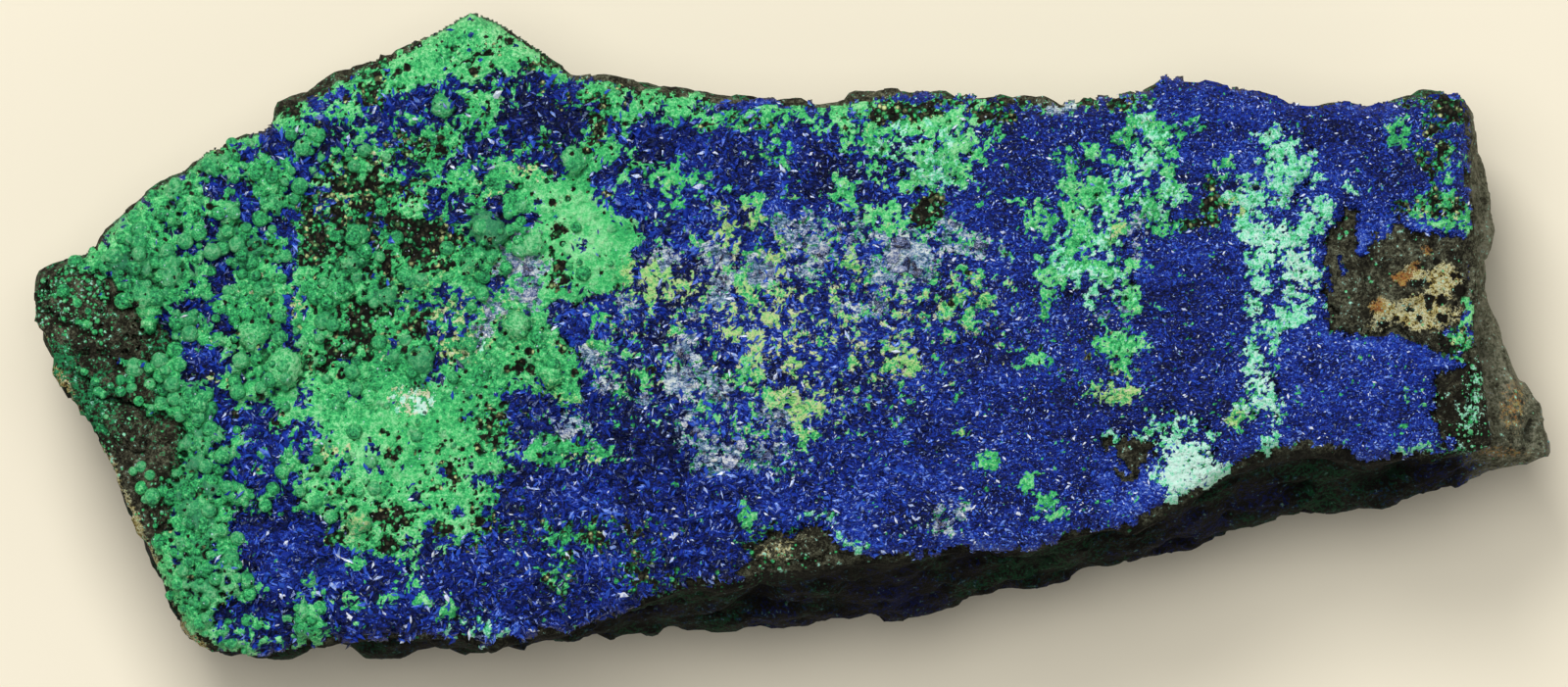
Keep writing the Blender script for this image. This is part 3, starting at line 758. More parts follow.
def at_west(x):
    """1 where the azurite is coarse, in the west and middle, falling to 0 in the east."""
    return rising(x, 18, -30)


def seat(x, y):
    """Height of the rock face that carries the crusts."""
    return SEAT_HEIGHT + 0.35 * np.sin(x / 17 + 0.6) * np.cos(y / 14 - 0.4)


def crust_base(laid, top):
    """The crusts' surface without relief: the CAD's tops smoothed, and thinner at the edges."""
    known = np.isfinite(top)
    weight = blurred(known, 0.9)
    base = blurred(np.where(known, top, 0), 0.9) / np.maximum(weight, 1e-3)
    base = np.where(weight > 0.02, base, SEAT_HEIGHT + 1.2) - 0.2
    floor = seat(GRID_X, GRID_Y) + 0.3
    return floor + (base - floor) * (0.55 + 0.45 * np.sqrt(depth_inside(laid, EDGE_WIDTH)))


def over_rim(height, rock):
    """The height drawn down onto the slab's rounded rim, and kept below HIGHEST."""
    ground = blurred(np.clip(rock, DEEPEST_SEAT, seat(GRID_X, GRID_Y)), 0.12)
    inland = depth_inside(rock > SEAT_HEIGHT - RIM_DEPTH, RIM_WIDTH)
    return capped(ground + (height - ground) * (RIM_THIN + (1 - RIM_THIN) * (2 - inland) * inland))


def crust_fields(kind, region, top, rock):
    """Height of the crusts' surface and the fields that their material reads."""
    laid = region >= 0
    height = crust_base(laid, top)
    ball, own = balls_on(kind, region)
    specks = round_specks(kind, region)
    covered = np.maximum(blurred(laid, 0.08), 0.05)
    fields = {title: blurred(kind == number, 0.08) / covered
              for title, number in NAMED_KINDS.items()}
    green = blurred(kind == MALACHITE, 0.12)
    calm = np.clip(spread(SMOOTH_GREEN, 0.8), 0, 1)
    coarse = at_west(GRID_X)
    crowd = np.maximum(spread(LUMPY, 0.8), 0.25) * (1 - 0.7 * calm)
    height += green * (0.06 + 0.22 * crowd * grains(0.5, 101) + 0.07 * grains(0.3, 103))
    height += green * (0.20 * crowd * grains(1.4, 107) + ball)
    height += green * 0.10 * rough(GRID_X, GRID_Y, 1.1, 105, 3, 0.7)
    height += fields["azurite"] * (0.06 + 0.16 * coarse) * tilted(CLUMP, 109)
    height += fields["azurite"] * 0.08 * tilted(SMALL_CLUMP, 113)
    height += 0.12 * (1 - coarse) * rough(GRID_X / 3.5, GRID_Y, 0.8, 115, 3)
    height += fields["mint"] * (0.06 + 0.07 * grains(0.4, 127) + 0.05 * grains(0.25, 131))
    height += fields["cream"] * 0.06 * grains(0.3, 137) + fields["pale"] * 0.14 * tilted(0.7, 139)
    height -= fields["dark"] * (0.22 - 0.14 * grains(0.32, 149))
    height -= 0.16 * specks * green
    height = over_rim(height, rock)
    hollow = np.clip((blurred(height, 0.32) - height) / 0.16, -1, 1.5)
    teal = spread(TEAL_GREEN, 0.4)
    middle = np.clip(1.2 - np.hypot((GRID_X + 0.5) / 20, (GRID_Y - 1) / 9), 0, 1)
    group = even(rough(GRID_X, GRID_Y, 1.8, 161, 2)) ** 3
    border = 4 * green * (1 - green)
    fields["dark"] = np.maximum(fields["dark"], specks)
    fields["cream"] = np.maximum(0.6 * fields["cream"], border * 0.30 * middle)
    fields["speck"] = ((region == MALACHITE_CRUST) * (0.02 + 0.30 * group)
                       + 0.8 * spread(DARK_SPOTS, 0.6))
    fields["hollow"] = hollow
    fields["calm"] = calm
    fields["white"] = spread(WHITE_SPOTS, 0.3)
    fields["green_tone"] = (0.16 * spread(BRIGHT_GREEN, 0.4) - 0.10 * teal - 0.14 * hollow
                            + 0.06 * own + 0.06 * (1 - coarse) + 0.12 * middle
                            + 0.10 * rough(GRID_X, GRID_Y, 2.5, 151, 3))
    fields["teal"] = np.clip((ball > 0.12) * (0.2 + 0.5 * teal + 0.25 * own), 0, 0.8)
    fields["yellow"] = np.clip(0.7 * spread(YELLOW_GREEN_SPOTS, 0.3)
                               + 0.22 * (region == AZURITE_CRUST) + 0.20 * middle * (1 + border)
                               + 0.22 * rough(GRID_X, GRID_Y, 1.0, 157, 3) - 0.08, 0, 0.8)
    fields["blue_tone"] = (0.30 * spread(BRIGHT_BLUE, 0.3) - 0.20 * spread(NAVY, 0.6)
                           - 0.10 * hollow
                           + (0.10 + 0.06 * coarse) * rough(GRID_X / 2, GRID_Y, 1.6, 159, 4))
    return height, fields


SUNK = 0.25  # how far a crust's edges reach into the rock
LIP = 0.3  # height of its edges where they hang past the rim


def make_crusts(region, height, rock, fields):
    """One closed-edged sheet for each CAD crust."""
    floor = np.clip(rock, DEEPEST_SEAT, seat(GRID_X, GRID_Y)) - SUNK
    beyond_rim = rock < SEAT_HEIGHT - RIM_DEPTH
    floor = np.where(beyond_rim, np.maximum(floor, height - LIP), floor)
    for number, node in enumerate(CRUSTS):
        points, faces, values = sheet_of(region == number, height, floor, fields)
        piece = made_object(node + "_surface", points, faces, True, crust_material(node), values,
                            from_above(points, faces))
        set_on(piece, node)


# ---------------------------------------------------------------- azurite blades

# A blade along X: two tips, two edges, and a point above and below, off the middle.
BLADE_POINTS = np.array([
    (-1, 0, 0), (1, 0.1, 0), (-0.15, -1, 0), (0.2, 1, 0), (0.25, 0.1, 1), (0, 0, -1)], float)
BLADE_FACES = np.array([
    (0, 2, 4), (2, 1, 4), (1, 3, 4), (3, 0, 4), (2, 0, 5), (1, 2, 5), (3, 1, 5), (0, 3, 5)])
BLADE_ZONES = {"azurite_blades_west": (-60, -10), "azurite_blades_middle": (-10, 20),
               "azurite_blades_east": (20, 60)}
BLADE_SPACING = 0.20
CLUMP = 0.75  # size of a group of blades that lie alike
SMALL_CLUMP = 0.35


def blades(x, y, number, height, fields):
    """Points, faces, shades and map of azurite blades at these places."""
    west = at_west(x)
    pick = [scrambled(number, n, 1, 211) for n in range(11)]
    length = (0.12 + 0.15 * west) * np.exp(0.9 * (pick[0] + pick[1] - 1))
    width = length * (0.34 - 0.10 * west + 0.22 * pick[2])
    thick = width * (0.45 + 0.45 * pick[3])
    edge, _, _, clump, clump_tone, _ = cells(x, y, CLUMP, 109)
    small_tone = cells(x, y, SMALL_CLUMP, 113)[4]
    drift = 1.1 * rough(x, y, 3.2, 223, 2) * (0.35 + 0.65 * west) + 3 * west * (clump - 0.5)
    heading = drift + (pick[4] - 0.5) * (2.8 - 0.4 * west)
    tilt = (0.08 + 0.55 * pick[5] ** 1.5) * (0.7 + 0.7 * west) * np.where(pick[6] < 0.5, -1, 1)
    roll = (pick[7] - 0.5) * 1.9
    along = np.stack([np.cos(heading) * np.cos(tilt), np.sin(heading) * np.cos(tilt),
                      np.sin(tilt)], 1)
    level = np.stack([-np.sin(heading), np.cos(heading), 0 * heading], 1)
    up = np.cross(along, level)
    across = level * np.cos(roll)[:, None] + up * np.sin(roll)[:, None]
    above = np.cross(along, across)
    lift = 0.35 * length * np.abs(np.sin(tilt)) + 0.3 * thick
    centre = np.stack([x, y, at(height, x, y) + lift], 1)
    axes = np.stack([along * length[:, None], across * width[:, None],
                     above * thick[:, None]], 1)
    points = centre[:, None] + np.einsum("pk,nkc->npc", BLADE_POINTS, axes)
    faces = BLADE_FACES[None] + len(BLADE_POINTS) * np.arange(len(x))[:, None, None]
    tone = at(fields["blue_tone"], x, y) + 0.12 * rough(x / 2, y, 1.4, 227, 3)
    tone += (0.06 + 0.20 * west) * (clump_tone - 0.5) + 0.14 * (small_tone - 0.5)
    tone -= (0.08 + 0.30 * west) * np.clip(edge - 0.4, 0, 0.5)
    shade = np.clip(0.15 + tone + (0.70 - 0.14 * west) * pick[8] ** (1.6 + 0.3 * west), 0, 0.84)
    shade = np.where(pick[9] < 0.055 - 0.015 * west, 0.86 + 0.14 * pick[10], shade)
    columns = int(math.ceil(math.sqrt(len(x))))
    cell = np.stack([np.arange(len(x)) % columns, np.arange(len(x)) // columns], 1)
    spot = (cell[:, None] + 0.5 + 0.4 * BLADE_POINTS[None, :, :2]) / columns
    uv = spot.reshape(-1, 2)[faces.reshape(-1)]
    shades = np.repeat(shade, len(BLADE_POINTS))
    return points.reshape(-1, 3), faces.reshape(-1, 3), {"shade": shades}, uv


def make_blades(region, height, fields):
    """Blades crowded where the azurite is, and loose ones beside it."""
    blue = fields["azurite"]
    crowded = np.clip(1.6 * blue - 0.35, 0, 1) * (region >= 0) * (1 - 0.42 * at_west(GRID_X))
    near = np.clip(blurred(blue, 0.8) - 0.1, 0, 1)
    loose = 0.25 * near * (region >= 0) * (1 - fields["dark"])
    x, y, number = scattered(BLADE_SPACING, 229, np.maximum(crowded, loose))
    material = blade_material()
    for name, (start, end) in BLADE_ZONES.items():
        here = (x >= start) & (x < end)
        points, faces, values, uv = blades(x[here], y[here], number[here], height, fields)
        set_on(made_object(name, points, faces, False, material, values, uv), None)


# ---------------------------------------------------------------- small balls and clear flakes

def ball_shape(turns):
    """Points and triangles of a unit ball, split turns times from an icosahedron."""
    mesh = bmesh.new()
    bmesh.ops.create_icosphere(mesh, subdivisions=turns, radius=1.0)
    points = np.array([v.co[:] for v in mesh.verts])
    faces = np.array([[v.index for v in f.verts] for f in mesh.faces])
    mesh.free()
    return points, faces


def bead_places(kind, dark, bare):
    """Each bead's x, y, radius and how finely it is split: the placed ones, the fine ones on the
    rock and in the dark openings, and the crowd on the lumpy malachite."""
    stained = np.clip(share_of(BEADED_ROCK), 0, 1) * bare
    fine_x, fine_y, number = scattered(0.34, 331, np.maximum(0.30 * stained, 0.55 * dark))
    fine = 0.08 + 0.14 * scrambled(number, 5, 5, 331) ** 1.5
    x, y, number = scattered(0.85, 347, 0.85 * share_of(LUMPY) * (kind == MALACHITE))
    radius = 0.22 + 0.42 * scrambled(number, 5, 5, 347) ** 1.5
    return ([(*ball, 3) for ball in BALLS_ON_ROCK]
            + [(bx, by, r, 2 if r > 0.14 else 1) for bx, by, r in zip(fine_x, fine_y, fine)]
            + [(bx, by, r, 3 if r > 0.3 else 2) for bx, by, r in zip(x, y, radius)])


BEAD_HEIGHT = 0.8  # of a bead, as a share of its width
FIRST_SHADED = 0.2  # radius from which a bead is darker underneath


def make_beads(kind, height, fields, bare_height, bare):
    """Malachite balls that stand on the bare rock, in the dark openings and on the crust."""
    dark = (kind == DARK) * blurred(kind == DARK, 0.2)
    ground = np.where(bare, bare_height, height)
    shapes = {turns: ball_shape(turns) for turns in (1, 2, 3)}
    points, faces, tones, blacks, hollows = [], [], [], [], []
    start = 0
    for n, (x, y, r, turns) in enumerate(bead_places(kind, dark, bare)):
        unit, triangles = shapes[turns]
        level = min(at(ground, x, y) + (0.3 - 0.35 * r) * r, HIGHEST - BEAD_HEIGHT * r)
        uneven = 1 + 0.06 * rough(*(unit[:, :2] * 1.5 + n).T, 1.0, 337, 2)[:, None]
        points.append(unit * (r, r, BEAD_HEIGHT * r) * uneven + (x, y, level))
        faces.append(triangles + start)
        tone = scrambled(n, 1, 3, 333)
        black = at(dark, x, y) > 0.2 and tone < 0.7
        tones.append(np.full(len(unit), tone))
        blacks.append(np.full(len(unit), float(black)))
        hollows.append(1.1 * np.clip(0.5 - unit[:, 2], 0, 1) * (r > FIRST_SHADED))
        start += len(unit)
    tones = np.concatenate(tones)
    values = {title: np.zeros(len(tones)) for title in fields}
    values["green_tone"] = 0.34 * (tones - 0.5)
    values["teal"] = 0.5 * tones
    values["dark"] = np.concatenate(blacks)
    values["hollow"] = np.concatenate(hollows)
    piece = made_object("malachite_beads", np.concatenate(points), np.concatenate(faces), True,
                        crust_material("malachite_beads"), values)
    set_on(piece, None)


FLAKE_SIDES = 7
FLAKE_RINGS = ((0.05, 0.86), (0, 1), (-0.05, 0.9))  # each one's level and its share of the radius
FLAKE_PEAK = 0.07  # how far the flake's middle stands above and below its level
TOP_RING, MIDDLE_RING, LOW_RING, TOP_POINT = (FLAKE_SIDES * ring for ring in range(4))
LOW_POINT = TOP_POINT + 1


def flake_points(pick, reaches, x, y, level, radius):
    """Three rings and two peaks of a leaning plate round x and y."""
    lean_x, lean_y = 0.9 * (pick[3] - 0.5), 0.9 * (pick[4] - 0.5)
    turn = 6.3 * pick[5]
    slim = 0.35 + 0.5 * pick[6]
    points = []
    for rise, share_out in FLAKE_RINGS:
        for k, reach in enumerate(reaches):
            angle = turn + 2 * math.pi * k / FLAKE_SIDES
            out = radius * share_out * (0.7 + 0.5 * reach)
            u, v = out * math.cos(angle), slim * out * math.sin(angle)
            dx = u * math.cos(turn) - v * math.sin(turn)
            dy = u * math.sin(turn) + v * math.cos(turn)
            points.append((x + dx, y + dy, level + lean_x * dx + lean_y * dy + rise))
    return points + [(x, y, level + FLAKE_PEAK), (x, y, level - FLAKE_PEAK)]


def flake_faces():
    """The triangles between a flake's three rings and its two peaks."""
    faces = []
    sides = [(k, (k + 1) % FLAKE_SIDES) for k in range(FLAKE_SIDES)]
    for ring in (TOP_RING, MIDDLE_RING):
        for k, after in sides:
            a, b = ring + k, ring + after
            faces += [(a, a + FLAKE_SIDES, b), (b, a + FLAKE_SIDES, b + FLAKE_SIDES)]
    for k, after in sides:
        faces += [(k, after, TOP_POINT), (LOW_RING + k, LOW_POINT, LOW_RING + after)]
    return np.array(faces)


def make_flakes(height):
    """Thin many-sided plates in small overlapping fans."""
    points, faces, tones = [], [], []
    for n, (x, y, reach_x, reach_y, share) in enumerate(PALE_SPOTS):
        for part in range(int(2 + 9 * share)):
            pick = [scrambled(n, part, k, 307) for k in range(8)]
            reaches = [scrambled(n, part, k, 311) for k in range(FLAKE_SIDES)]
            radius = min(reach_x, reach_y) * (0.18 + 0.30 * pick[0])
            cx = x + reach_x * (pick[1] - 0.5) * 1.5
            cy = y + reach_y * (pick[2] - 0.5) * 1.5
            level = at(height, cx, cy) + 0.05 + 0.03 * part
            faces.append(flake_faces() + len(points))
            points += flake_points(pick, reaches, cx, cy, level, radius)
            tones += [pick[7]] * (LOW_POINT + 1)
    piece = made_object("clear_flakes", points, np.concatenate(faces), False, flake_material(),
                        {"tone": tones})
    set_on(piece, None)


# ---------------------------------------------------------------- meshes

def made_object(name, points, faces, smooth, material, fields=None, uv=None):
    """A mesh object from drawn points in millimetres and triangles or quads."""
    mesh = bpy.data.meshes.new(name)
    places = (np.asarray(points) - (*DRAWN_CENTRE, 0)) * MM
    faces = np.asarray(faces)
    count, sides = faces.shape
    mesh.vertices.add(len(places))
    mesh.vertices.foreach_set("co", places.astype(np.float32).ravel())
    mesh.loops.add(count * sides)
    mesh.loops.foreach_set("vertex_index", faces.astype(np.int32).ravel())
    mesh.polygons.add(count)
    mesh.polygons.foreach_set("loop_start", np.arange(0, count * sides, sides, dtype=np.int32))
    mesh.update(calc_edges=True)
    mesh.polygons.foreach_set("use_smooth", np.full(count, smooth))
    for title, values in (fields or {}).items():
        attribute = mesh.attributes.new(title, "FLOAT", "POINT")
        attribute.data.foreach_set("value", np.asarray(values).astype(np.float32).ravel())
    if uv is not None:
        layer = mesh.uv_layers.new(name="OFBake")
        layer.uv.foreach_set("vector", np.asarray(uv).astype(np.float32).ravel())
    mesh.materials.append(material)
    mesh.validate()
    piece = bpy.data.objects.new(name, mesh)
    bpy.context.scene.collection.objects.link(piece)
    return piece


def from_above(points, faces):
    """A map seen from above, sheared a little so that upright walls keep some width."""
    flat = points[:, :2] + 0.12 * (points[:, 2:] - SEAT_HEIGHT)
    low, high = flat.min(0), flat.max(0)
    return ((flat - low) / (high - low))[faces.ravel()]


def sheet_of(chosen, height, floor, fields):
    """The chosen grid squares as a surface, with its edges carried down to the floor."""
    chosen = chosen.copy()
    chosen[-1, :] = False
    chosen[:, -1] = False
    number = ROW_OF * COLUMNS + COLUMN_OF
    i, j = np.nonzero(chosen)
    quads = np.stack([number[i, j], number[i, j + 1], number[i + 1, j + 1], number[i + 1, j]], 1)
    walls = []
    wide = np.pad(chosen, 1)
    for di, dj, start, end in ((0, -1, 3, 0), (0, 1, 1, 2), (-1, 0, 0, 1), (1, 0, 2, 3)):
        edge = ~wide[i + 1 + di, j + 1 + dj]
        walls.append(np.stack([quads[edge, start], quads[edge, end]], 1))
    walls = np.concatenate(walls)
    used, index = np.unique(quads, return_inverse=True)
    quads = index.reshape(quads.shape)
    lower, ends = np.unique(walls, return_inverse=True)
    ends = ends.reshape(walls.shape) + len(used)
    starts = np.searchsorted(used, walls)
    sides = np.stack([starts[:, 1], starts[:, 0], ends[:, 0], ends[:, 1]], 1)
    flat = [GRID_X.ravel(), GRID_Y.ravel()]
    points = np.stack([a[used] for a in flat + [height.ravel()]], 1)
    below = np.stack([a[lower] for a in flat + [floor.ravel()]], 1)
    every = np.concatenate([used, lower])
    values = {title: field.ravel()[every] for title, field in fields.items()}
    return np.concatenate([points, below]), np.concatenate([quads, sides]), values


def set_on(piece, node):
    """The piece stands for a CAD node, or for none, and takes the slot's finish."""
    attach(piece, "root")
    if node:
        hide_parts(node)


# ---------------------------------------------------------------- materials

class Shader:
    """A Principled material with short calls for the nodes that its colours are made of."""

    def __init__(self, name, roughness, shine=0.5, ior=1.5):
        self.material = bpy.data.materials.new(name)
        self.material.use_nodes = True
        self.tree = self.material.node_tree
        self.surface = self.tree.nodes["Principled BSDF"]
        self.surface.inputs["Roughness"].default_value = roughness
        self.surface.inputs["IOR"].default_value = ior
        self.surface.inputs["Specular IOR Level"].default_value = shine
        place = self.node("TexCoord")["Object"]
        self.place = self.node("VectorMath", {0: place, "Scale": 1 / MM}, operation="SCALE")[0]

    def give(self, socket, value):
        """Links another node's output to the socket, or sets a plain value on it."""
        if isinstance(value, bpy.types.NodeSocket):
            self.tree.links.new(value, socket)
        elif socket.type == "RGBA":
            socket.default_value = (*value, 1)
        else:
            socket.default_value = value

    def node(self, kind, values=None, **settings):
        """The outputs of a new node, whose sockets take the values."""
        node = self.tree.nodes.new("ShaderNode" + kind)
        for name, setting in settings.items():
            setattr(node, name, setting)
        for socket, value in (values or {}).items():
            self.give(node.inputs[socket], value)
        return node.outputs

    def noise(self, per_mm, detail=3.0, share=0.6, stretch=None):
        """Uneven noise with so many lumps to a millimetre."""
        place = self.place
        if stretch:
            place = self.node("VectorMath", {0: place, 1: stretch}, operation="MULTIPLY")[0]
        return self.node("TexNoise", {"Vector": place, "Scale": per_mm, "Detail": detail,
                                      "Roughness": share})["Fac"]

    def beads(self, per_mm):
        """Distance to the nearest of scattered beads of uneven size, and that bead's number."""
        bead = self.node("TexVoronoi", {"Vector": self.place, "Scale": per_mm})
        parts = self.node("SeparateColor", {0: bead["Color"]})
        return self.total((bead["Distance"], 1), (parts["Green"], 0.25)), parts["Red"]

    def field(self, name):
        """One of the mesh's own fields."""
        return self.node("Attribute", attribute_name=name)["Fac"]

    def total(self, *parts, middle=0.0, plus=0.0):
        """Sum of values, each times its weight, counted from a middle value."""
        result = plus - middle * sum(weight for _, weight in parts)
        for value, weight in parts:
            result = self.node("Math", {0: value, 1: weight, 2: result},
                               operation="MULTIPLY_ADD")[0]
        return result

    def times(self, one, two):
        return self.node("Math", {0: one, 1: two}, operation="MULTIPLY")[0]

    def between(self, value, low, high, to_low=0.0, to_high=1.0):
        """From to_low to to_high, smoothly, as the value goes from low to high."""
        return self.node("MapRange", {"Value": value, "From Min": low, "From Max": high,
                                      "To Min": to_low, "To Max": to_high},
                         interpolation_type="SMOOTHSTEP")["Result"]

    def ramp(self, value, stops):
        """Colours along a value: each stop is a place from 0 to 1 and a colour."""
        node = self.tree.nodes.new("ShaderNodeValToRGB")
        points = node.color_ramp.elements
        while len(points) < len(stops):
            points.new(0.5)
        for point, (place, colour) in zip(points, stops):
            point.position = place
            point.color = (*colour, 1)
        self.give(node.inputs["Fac"], value)
        return node.outputs["Color"]

    def mix(self, share, one, two, way="MIX"):
        """From one colour to the other by a share, or combined another way."""
        return self.node("Mix", {0: share, 6: one, 7: two}, data_type="RGBA", blend_type=way)[2]

    def shaded(self, colour, light):
        """The colour times a value from 0 to 1."""
        return self.mix(1.0, colour, light, "MULTIPLY")

    def inside(self, share, grain):
        """1 where a share and a weighted noise add up to more than a half."""
        return self.between(self.total((share, 1), grain), 0.42, 0.58)

    def dot(self, claim, number, distance, reach, fade):
        """1 on the beads whose number and weighted claim reach high enough, within reach."""
        chosen = self.total(claim, (number, 1), plus=-0.98)
        return self.times(self.between(chosen, 0.0, 0.02),
                          self.between(distance, reach - fade, reach + fade, 1.0, 0.0))

    def colour(self, value):
        self.give(self.surface.inputs["Base Color"], value)

    def bump(self, value, height):
        """Fine relief, height in millimetres."""
        relief = self.node("Bump", {"Height": value, "Strength": 1.0, "Distance": height * MM})
        self.give(self.surface.inputs["Normal"], relief["Normal"])


NAVY_BLUE = (0.002, 0.004, 0.030)
DARK_BLUE = (0.005, 0.013, 0.14)
ROYAL_BLUE = (0.010, 0.036, 0.40)
CLEAR_BLUE = (0.034, 0.115, 0.62)
POWDER_BLUE = (0.24, 0.36, 0.78)
GLINT_BLUE = (0.80, 0.86, 0.97)
DARK_GREEN = (0.006, 0.055, 0.026)
DEEP_GREEN = (0.028, 0.30, 0.11)
FULL_GREEN = (0.055, 0.60, 0.175)
PALE_GREEN = (0.36, 0.90, 0.44)
LEAF_GREEN = (0.17, 0.58, 0.15)
YELLOW_GREEN = (0.40, 0.74, 0.25)
TEAL = (0.035, 0.20, 0.115)
MINT_GREEN = (0.15, 0.74, 0.44)
PALE_MINT = (0.46, 0.93, 0.74)
WHITE_MINT = (0.68, 0.97, 0.88)
CREAM_YELLOW = (0.60, 0.70, 0.32)
SMOKE_DARK = (0.030, 0.055, 0.20)
SMOKE_BLUE = (0.19, 0.27, 0.56)
SMOKE_WHITE = (0.80, 0.86, 0.90)
ICE = (0.62, 0.82, 0.92)
BLACK_BROWN = (0.010, 0.008, 0.005)
ROCK_DARK = (0.017, 0.017, 0.011)
ROCK_GREY = (0.044, 0.042, 0.027)
ROCK_PALE = (0.135, 0.145, 0.095)
ROCK_LIGHT = (0.30, 0.30, 0.22)
ROCK_RED = (0.10, 0.055, 0.035)
OCHRE = (0.42, 0.31, 0.09)
PALE_OCHRE = (0.56, 0.53, 0.22)
IVORY = (0.76, 0.78, 0.62)
RUST = (0.38, 0.14, 0.035)
CLEAR_WHITE = (0.94, 0.95, 0.95)

# Colour ramps.
GREENS = [(0.05, DARK_GREEN), (0.32, DEEP_GREEN), (0.58, FULL_GREEN), (0.98, PALE_GREEN)]
WARM_GREENS = [(0.05, DARK_GREEN), (0.25, DEEP_GREEN), (0.45, LEAF_GREEN), (0.60, YELLOW_GREEN),
               (0.88, CREAM_YELLOW)]
BLUES = [(0.12, NAVY_BLUE), (0.36, DARK_BLUE), (0.62, ROYAL_BLUE), (0.85, CLEAR_BLUE),
         (1.0, POWDER_BLUE)]
BLADE_BLUES = [(0.05, NAVY_BLUE), (0.25, DARK_BLUE), (0.50, ROYAL_BLUE), (0.75, CLEAR_BLUE),
               (0.90, POWDER_BLUE), (1.0, GLINT_BLUE)]
MINTS = [(0.05, DEEP_GREEN), (0.20, FULL_GREEN), (0.44, MINT_GREEN), (0.72, PALE_MINT),
         (0.98, WHITE_MINT)]
CREAMS = [(0.10, DEEP_GREEN), (0.28, FULL_GREEN), (0.48, YELLOW_GREEN), (0.70, CREAM_YELLOW),
          (0.98, IVORY)]
SMOKES = [(0.12, NAVY_BLUE), (0.32, SMOKE_DARK), (0.60, SMOKE_BLUE), (1.0, SMOKE_WHITE)]
FLAKE_SMOKES = [(0.12, NAVY_BLUE), (0.30, SMOKE_DARK), (0.54, SMOKE_BLUE), (0.84, SMOKE_WHITE),
                (1.0, CLEAR_WHITE)]
PEPPERS = [(0.0, ROCK_DARK), (0.45, ROCK_GREY), (0.66, ROCK_GREY), (0.72, DEEP_GREEN),
           (0.88, FULL_GREEN), (0.93, CREAM_YELLOW)]
ROCKS = [(0.05, BLACK_BROWN), (0.25, ROCK_DARK), (0.43, ROCK_GREY), (0.72, ROCK_PALE),
         (1.0, ROCK_LIGHT)]
OCHRES = [(0.12, ROCK_DARK), (0.28, OCHRE), (0.46, PALE_OCHRE), (0.62, IVORY), (0.72, PALE_OCHRE),
          (0.82, OCHRE), (0.95, ROCK_PALE)]
RUSTS = [(0.2, ROCK_RED), (0.5, RUST), (0.8, OCHRE)]
GREEN_STAIN = [(0.3, DARK_GREEN), (0.6, DEEP_GREEN)]
BLUE_STAIN = [(0.3, NAVY_BLUE), (0.6, ROYAL_BLUE)]
LACE = [(0.1, DEEP_GREEN), (0.35, FULL_GREEN), (0.65, PALE_MINT)]
BEAD_GREENS = [(0.30, DEEP_GREEN), (0.48, FULL_GREEN), (0.62, PALE_MINT)]


